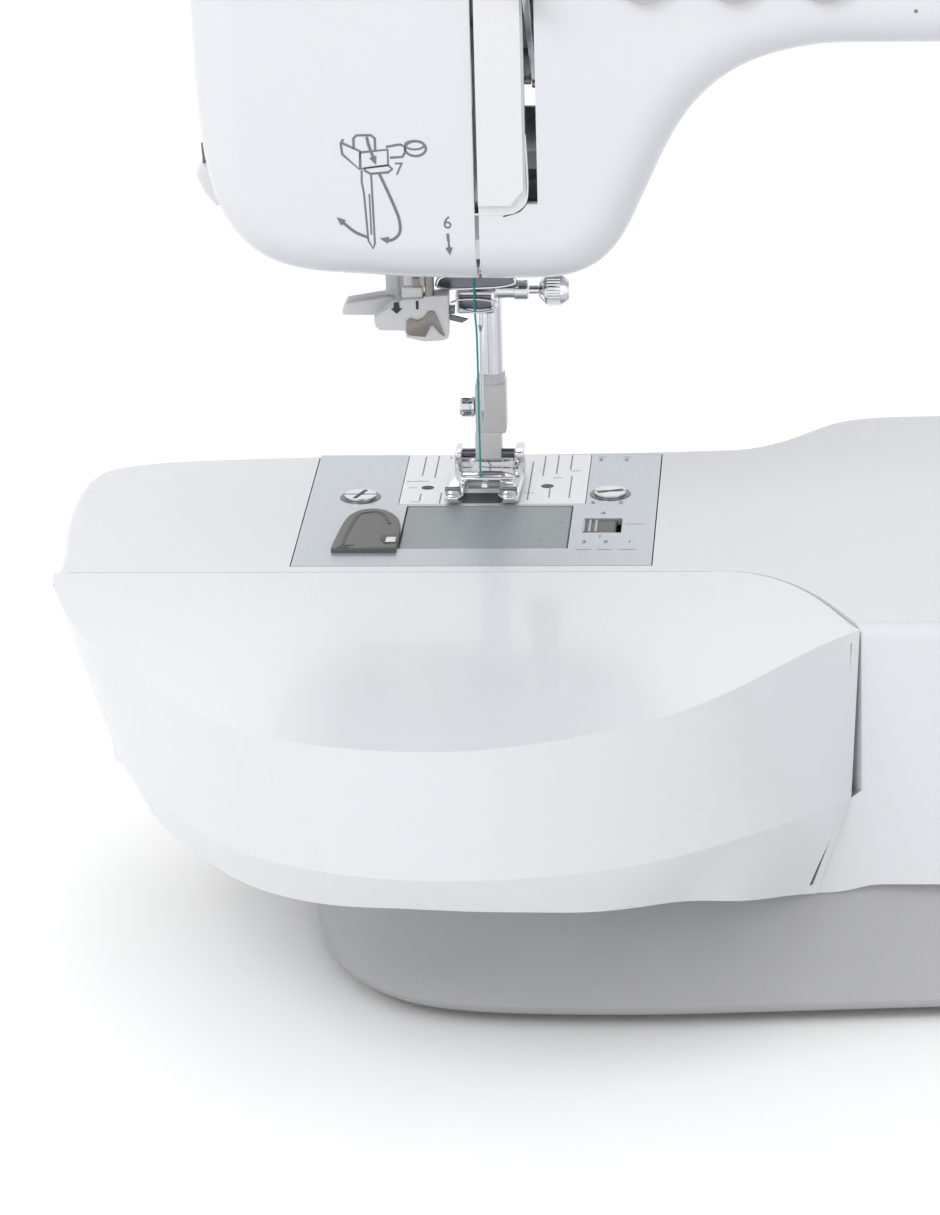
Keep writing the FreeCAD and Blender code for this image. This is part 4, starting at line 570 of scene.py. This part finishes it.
ankle = bmesh.new()
block(ankle, -2.6, 4.2, 5.8, 14.2, 5.4, 13.2, 0.6)
block(ankle, -2.4, 5.7, 5.8, 14.2, 12.6, 26.2, 0.8)
turned(ankle, [(0, 26.0), (3.75, 26.0), (3.75, 28.4), (3.4, 28.8), (0, 28.8)], "z", (1.8, 10.0, 0))
piece("ankle", ankle, "presser_bar", lever_grey, replaces=("foot_holder",))
ankle_screw = bmesh.new()
turned(ankle_screw, [(0, -1.8), (1.4, -1.8), (1.4, -2.4), (2.5, -2.7), (2.8, -3.2), (2.8, -5.9), (2.3, -6.5),
                     (0, -6.6)], "x", (0, 9.0, 19.3), steps=36)
piece("ankle_screw", ankle_screw, "presser_bar", mirror_chrome)
foot = bmesh.new()
plate(foot, [(-9.6, -13.0), (-8.6, -14.6), (-6.2, -14.6), (-4.9, -12.0), (-4.9, 3.4), (4.4, 3.4), (4.4, -12.0),
             (6.0, -14.6), (8.6, -14.6), (9.7, -13.0), (10.3, 2.0), (10.0, 13.6), (8.8, 15.0), (-7.4, 15.0),
             (-8.6, 13.6), (-9.4, 2.0)], "xy", 0.5, 2.1, 0.4, 3)
for x0, x1 in ((-9.4, -5.2), (4.7, 9.5)):
    strip(foot, smooth_run([(-7.0, 1.2), (-11.0, 1.5), (-13.2, 2.6), (-14.5, 4.7)]), "yz", x0, x1, 0.7, 0.15)
block(foot, -6.2, 8.2, -3.8, -2.4, 2.4, 3.9, 0.5)
block(foot, -8.0, -6.1, 3.6, 12.4, 1.4, 8.2, 0.7)
block(foot, 7.7, 10.4, 3.6, 12.4, 1.4, 8.4, 0.7)
block(foot, -7.0, 9.6, 10.4, 12.0, 1.6, 4.6, 0.4)
turned(foot, [(0, 2.0), (1.0, 2.0), (0.7, 2.9), (0, 3.1)], "z", (0.4, -5.4, 0), steps=20)
piece("presser_foot_sole", foot, "presser_foot", mirror_chrome, replaces=("presser_foot",))
foot_pin = bmesh.new()
turned(foot_pin, [(0, -6.4), (1.2, -6.4), (1.2, 8.0), (0, 8.0)], "x", (0, 9.0, 6.4), steps=28)
piece("presser_foot_pin", foot_pin, "presser_foot", dark_chrome_and_painted_shade)

# ---------------------------------------------------------------- needle plate marks and screws, with painted shade in slots, holes and round the screws

plate_top = on_level(0.0)
scale_lines = bmesh.new()
for x, y0, y1 in ((-17.0, 9.0, 24.6), (-13.6, 7.4, 25.4), (-10.3, 22.9, 24.5), (14.9, 8.7, 25.0),
                  (18.4, 10.3, 25.4), (22.0, 13.5, 25.4), (11.8, -10.4, 20.2), (22.6, -9.0, 8.7),
                  (17.3, -8.9, -0.2), (-16.3, -11.0, -5.4), (-11.0, -13.0, -4.7)):
    laid_stroke(scale_lines, [(x, y0), (x, y1)], 0.34, plate_top)
for x0, x1, y in ((-20.8, -15.0, 4.6), (-19.8, -17.7, -0.6), (-18.6, -16.2, -11.8), (17.6, 20.3, 7.1),
                  (22.1, 24.8, 12.7), (10.9, 13.3, -4.9), (38.0, 43.1, -29.4), (26.2, 30.1, -48.7),
                  (31.6, 35.6, -48.7), (37.2, 41.2, -48.7), (28.9, 31.1, 24.0), (35.4, 37.6, 24.0)):
    laid_stroke(scale_lines, [(x0, y), (x1, y)], 0.34, plate_top)
for text, x, y in (("3", 29.7, 21.6), ("5", 36.6, 21.6), ("3", 29.0, -12.9), ("5", 36.3, -13.0), ("4", 32.0, -21.0),
                   ("1", 31.9, -38.8), ("3", 28.0, -43.0), ("5", 33.6, -43.0), ("1", 39.6, -43.0)):
    laid_text(scale_lines, text, 3.0, (x, y), plate_top)
piece("seam_scale", scale_lines, "machine", print_grey)
cover_marks = bmesh.new()
cover_top = on_level(-0.1)
for x0, y0, x1, y1 in ((-17.6, -41.6, -16.4, -44.0), (-12.0, -41.6, -10.8, -44.0), (10.6, -39.6, 11.8, -42.0),
                       (16.2, -39.6, 17.4, -42.0), (15.1, -45.2, 18.2, -45.2), (20.8, -26.6, 22.2, -28.8)):
    laid_stroke(cover_marks, [(x0, y0), (x1, y1)], 0.3, cover_top)
laid_stroke(cover_marks, smooth_run([(-12.6, -22.0), (-8.4, -19.0), (-2.0, -18.2), (2.6, -19.6)]), 0.26,
            cover_top)
piece("cover_marks", cover_marks, "bobbin_cover", print_faint)
# Black discs laid over the stitch plate: painted shade inside its two small holes.
hole_shade_discs = bmesh.new()
for x, y in ((-14.9, -0.5), (16.5, 0.5)):
    turned(hole_shade_discs, [(0, 0.02), (1.6, 0.02), (1.7, 0.0)], "z", (x, y, 0), steps=28)
piece("stitch_plate_hole_painted_shade", hole_shade_discs, "machine", dark_print_and_painted_shade)
# A black sheet laid over the feed dog slots in front of the needle: painted shadow in the slots.
feed_slot_shadow_sheet = bmesh.new()
laid_patch(feed_slot_shadow_sheet, [(-5.0, -13.0), (5.0, -13.0), (5.0, -5.2), (-5.0, -5.2)], plate_top)
piece("feed_slot_shade", feed_slot_shadow_sheet, "machine", dark_print_and_painted_shade)
# Dark rings round the plate screws and black strokes across their heads: painted shade of the countersinks and the
# screw slots.
countersink_shade_rings = bmesh.new()
slot_shade_strokes = bmesh.new()
for x, y, slant in ((-32.0, -8.0, 1.2), (33.3, -6.0, 0.35)):
    turned(countersink_shade_rings, [(4.3, 0.01), (4.3, 0.22), (5.2, 0.22), (5.4, 0.01)], "z", (x, y, 0), steps=48)
    reach = Vector((math.cos(slant), math.sin(slant))) * 3.5
    laid_stroke(slot_shade_strokes, [(x - reach.x, y - reach.y), (x + reach.x, y + reach.y)], 1.1, on_level(0.9))
piece("plate_screw_painted_shade_rings", countersink_shade_rings, "machine", dark_chrome_and_painted_shade)
piece("plate_screw_slot_painted_shade", slot_shade_strokes, "machine", dark_print_and_painted_shade)

# ---------------------------------------------------------------- bobbin winding guide and cover release

guide = bmesh.new()
guide_outline = smooth_run([(-36.0, -51.0), (-35.7, -44.4), (-34.2, -29.1), (-32.1, -22.9), (-28.7, -20.4),
                            (-24.5, -21.4), (-20.9, -26.9), (-19.4, -35.4), (-19.4, -51.0)])
plate(guide, guide_outline, "xy", -0.4, 1.3, 0.35, 3)
piece("winding_guide_rim", guide, "machine", guide_grey, replaces=("bobbin_thread_guide",))
# Black strokes and patches laid on the guide: painted shade in its thread groove, beside the tab and at its back
# end.
groove_shade_marks = bmesh.new()
laid_stroke(groove_shade_marks, smooth_run([(-33.1, -48.4), (-33.0, -42.9), (-31.3, -26.8), (-29.5, -23.8), (-25.3, -23.8),
                                (-22.4, -32.3)]), 1.1, on_level(1.3), depth=0.2)
laid_stroke(groove_shade_marks, [(-33.3, -48.6), (-30.2, -48.6)], 0.9, on_level(1.3), depth=0.2)
laid_patch(groove_shade_marks, [(-23.7, -40.7), (-20.0, -41.6), (-19.6, -46.8), (-22.5, -47.5), (-23.9, -44.0)],
           on_level(1.3))
laid_patch(groove_shade_marks, [(-34.5, -49.4), (-31.4, -49.4), (-31.6, -50.7), (-34.4, -50.7)], on_level(1.3))
piece("winding_guide_groove_painted_shade", groove_shade_marks, "machine", black_trim_and_painted_shade)
guide_tab = bmesh.new()
block(guide_tab, -22.4, -19.9, -46.6, -43.0, 1.2, 1.55, 0.15)
piece("winding_guide_tab", guide_tab, "machine", white_trim)

release = bmesh.new()
block(release, 25.2, 35.8, -36.2, -24.8, -3.6, -0.3, 0.7)
piece("release_slide", release, "release_button", guide_grey,
      replaces=("cover_release_button",))
release_ends = bmesh.new()
for x in (27.4, 29.0, 30.6):
    block(release_ends, x - 0.35, x + 0.35, -34.8, -26.2, -0.5, 0.1, 0.15)
piece("release_ribs", release_ends, "release_button", grey_trim)

# ---------------------------------------------------------------- control panel

icons = bmesh.new()


def on_button(x, z, lift):
    return Vector((x, -54.02 - lift, z))


laid_patch(icons, [(44.2, 147.2), (48.6, 150.0), (44.2, 152.8)], on_button)
laid_stroke(icons, [(68.0 + 3.2 * math.cos(a), 150.0 + 3.2 * math.sin(a)) for a in
                    [math.radians(-150 + 25 * n) for n in range(12)]], 0.7, on_button)
laid_patch(icons, [(64.0, 150.6), (66.6, 149.6), (64.3, 147.6)], on_button)
laid_stroke(icons, [(90.0, 146.6), (90.0, 153.4)], 0.7, on_button)
for tip, back in ((155.0, 152.6), (145.0, 147.4)):
    laid_patch(icons, [(90.0, tip), (88.8, back), (91.2, back)], on_button)
piece("button_symbols", icons, "machine", print_grey)
panel_marks = bmesh.new()
panel = on_front(52.0)
for n in range(7):
    laid_stroke(panel_marks, [(112.0 + 6.6 * n, 140.0), (112.0 + 6.6 * n, 140.8 + 0.7 * n)], 0.8, panel)
for n in range(10):
    a = math.tau * n / 10 + math.pi / 2
    laid_text(panel_marks, str(n), 4.2, (265.0 + 22.5 * math.cos(a), 62.0 + 22.5 * math.sin(a)), panel)
laid_stroke(panel_marks, oval_run((265.0, 62.0), 19.2, 19.2, 60), 0.4, panel, closed=True)
piece("panel_marks", panel_marks, "machine", print_grey)
screen_marks = bmesh.new()
glass = on_front(52.6)
laid_text(screen_marks, "01", 17.0, (248.0, 143.0), glass)
laid_text(screen_marks, "2.5", 7.5, (284.0, 150.0), glass)
laid_text(screen_marks, "3.5", 7.5, (284.0, 136.0), glass)
laid_stroke(screen_marks, [(233.0, 127.5), (297.0, 127.5)], 0.5, glass)
for n in range(12):
    laid_stroke(screen_marks, [(236.0 + 5.2 * n, 130.2 + 1.6 * (n % 2)), (239.0 + 5.2 * n, 131.8 - 1.6 * (n % 2))],
                0.6, glass)
piece("screen_symbols", screen_marks, "machine", screen_ink)
screen_frame = bmesh.new()
block(screen_frame, 222.0, 228.6, -53.6, -52.4, 121.4, 160.6, 0.4)
block(screen_frame, 301.4, 308.0, -53.6, -52.4, 121.4, 160.6, 0.4)
block(screen_frame, 222.0, 308.0, -53.6, -52.4, 161.0, 167.0, 0.4)
block(screen_frame, 222.0, 308.0, -53.6, -52.4, 113.0, 121.0, 0.4)
piece("screen_surround", screen_frame, "machine", grey_trim)
dial_mark = bmesh.new()
laid_stroke(dial_mark, [(265.0, 68.5), (265.0, 75.5)], 1.2, on_front(63.5))
piece("dial_pointer", dial_mark, "selection_dial", print_grey)

# ---------------------------------------------------------------- back of the machine

# A black strip behind the speed slider's slot: painted shade that hides the circuit board seen through the slot.
slider_shade_strip = bmesh.new()
block(slider_shade_strip, 110.0, 154.0, -46.8, -46.2, 145.5, 154.5, 0.2)
piece("slider_slot_painted_shade", slider_shade_strip, "machine", black_trim_and_painted_shade)
rear_screws = bmesh.new()
for x, z in ((-52.0, 176.0), (-52.0, 92.0), (112.0, 176.0), (112.0, 140.0), (212.0, 60.0), (314.0, 12.0),
             (314.0, 170.0)):
    turned(rear_screws, [(0, 56.6), (2.4, 56.6), (3.0, 56.2), (3.0, 55.4), (0, 55.4)], "y", (x, 0, z), steps=24)
piece("rear_casing_screws", rear_screws, "machine", dark_chrome_and_painted_shade)
# Black bars on the rear casing: painted shade for the motor vent openings.
vent_shade_bars = bmesh.new()
for n in range(9):
    block(vent_shade_bars, 236.0 + 7.0 * n, 239.0 + 7.0 * n, 55.4, 56.2, 22.0, 62.0, 0.35)
piece("motor_vent_painted_shade", vent_shade_bars, "machine", black_trim_and_painted_shade)

# ---------------------------------------------------------------- floor, light and camera


def spot(x, y, z):
    """A point given in millimetres from where the needle meets the plate."""
    return NEEDLE + Vector((x, y, z)) / 1000


def place_camera():
    """Looks a little down on the sewing head from the front."""
    yaw, pitch, roll = (math.radians(a) for a in (-3.157, 19.017, -1.2))
    ahead = Vector((math.sin(yaw) * math.cos(pitch), math.cos(yaw) * math.cos(pitch), -math.sin(pitch)))
    level = Vector((math.cos(yaw), -math.sin(yaw), 0))
    over = level.cross(ahead)
    across = level * math.cos(roll) + over * math.sin(roll)
    upward = over * math.cos(roll) - level * math.sin(roll)
    camera = linked("camera", bpy.data.cameras.new("camera"))
    camera.matrix_world = Matrix.Translation(spot(93.28, -1330.92, 461.28)) @ Matrix(
        (across, upward, -ahead)).transposed().to_4x4()
    camera.data.sensor_width = 36.0
    camera.data.lens = 159.35
    camera.data.shift_x = -0.0741
    camera.data.shift_y = -0.105
    camera.data.clip_start, camera.data.clip_end = 0.05, 20.0
    bpy.context.scene.camera = camera


def light(name, at, aim, size, power):
    """A soft square lamp turned towards a point; places are metres in the frame."""
    lamp = bpy.data.lights.new(name, "AREA")
    lamp.size = size
    lamp.energy = power
    obj = linked(name, lamp)
    obj.location = at
    obj.rotation_euler = (Vector(aim) - Vector(at)).to_track_quat("-Z", "Y").to_euler()


place_camera()
bpy.context.scene.view_settings.view_transform = "Standard"
world = bpy.data.worlds.new("soft_white")
bpy.context.scene.world = world
world.use_nodes = True
world.node_tree.nodes["Background"].inputs["Color"].default_value = (1.0, 1.0, 1.0, 1.0)
world.node_tree.nodes["Background"].inputs["Strength"].default_value = 0.92
light("key", (-1.1, -1.2, 1.7), (-0.1, 0.0, 0.12), 1.0, 15.0)
light("fill", (1.3, -1.5, 0.9), (0.0, 0.0, 0.12), 1.6, 3.0)
light("back", (-0.4, 1.5, 1.5), (0.0, 0.0, 0.15), 1.4, 5.0)

floor_mesh = bpy.data.meshes.new("pale_floor")
floor_mesh.from_pydata([(-4, -4, 0), (4, -4, 0), (4, 4, 0), (-4, 4, 0)], [], [(0, 1, 2, 3)])
floor = linked("pale_floor", floor_mesh)
floor_mesh.materials.append(finish("pale_floor", (0.97, 0.97, 0.97), 0.7, grain=90, shade=0.004, relief=0.01))
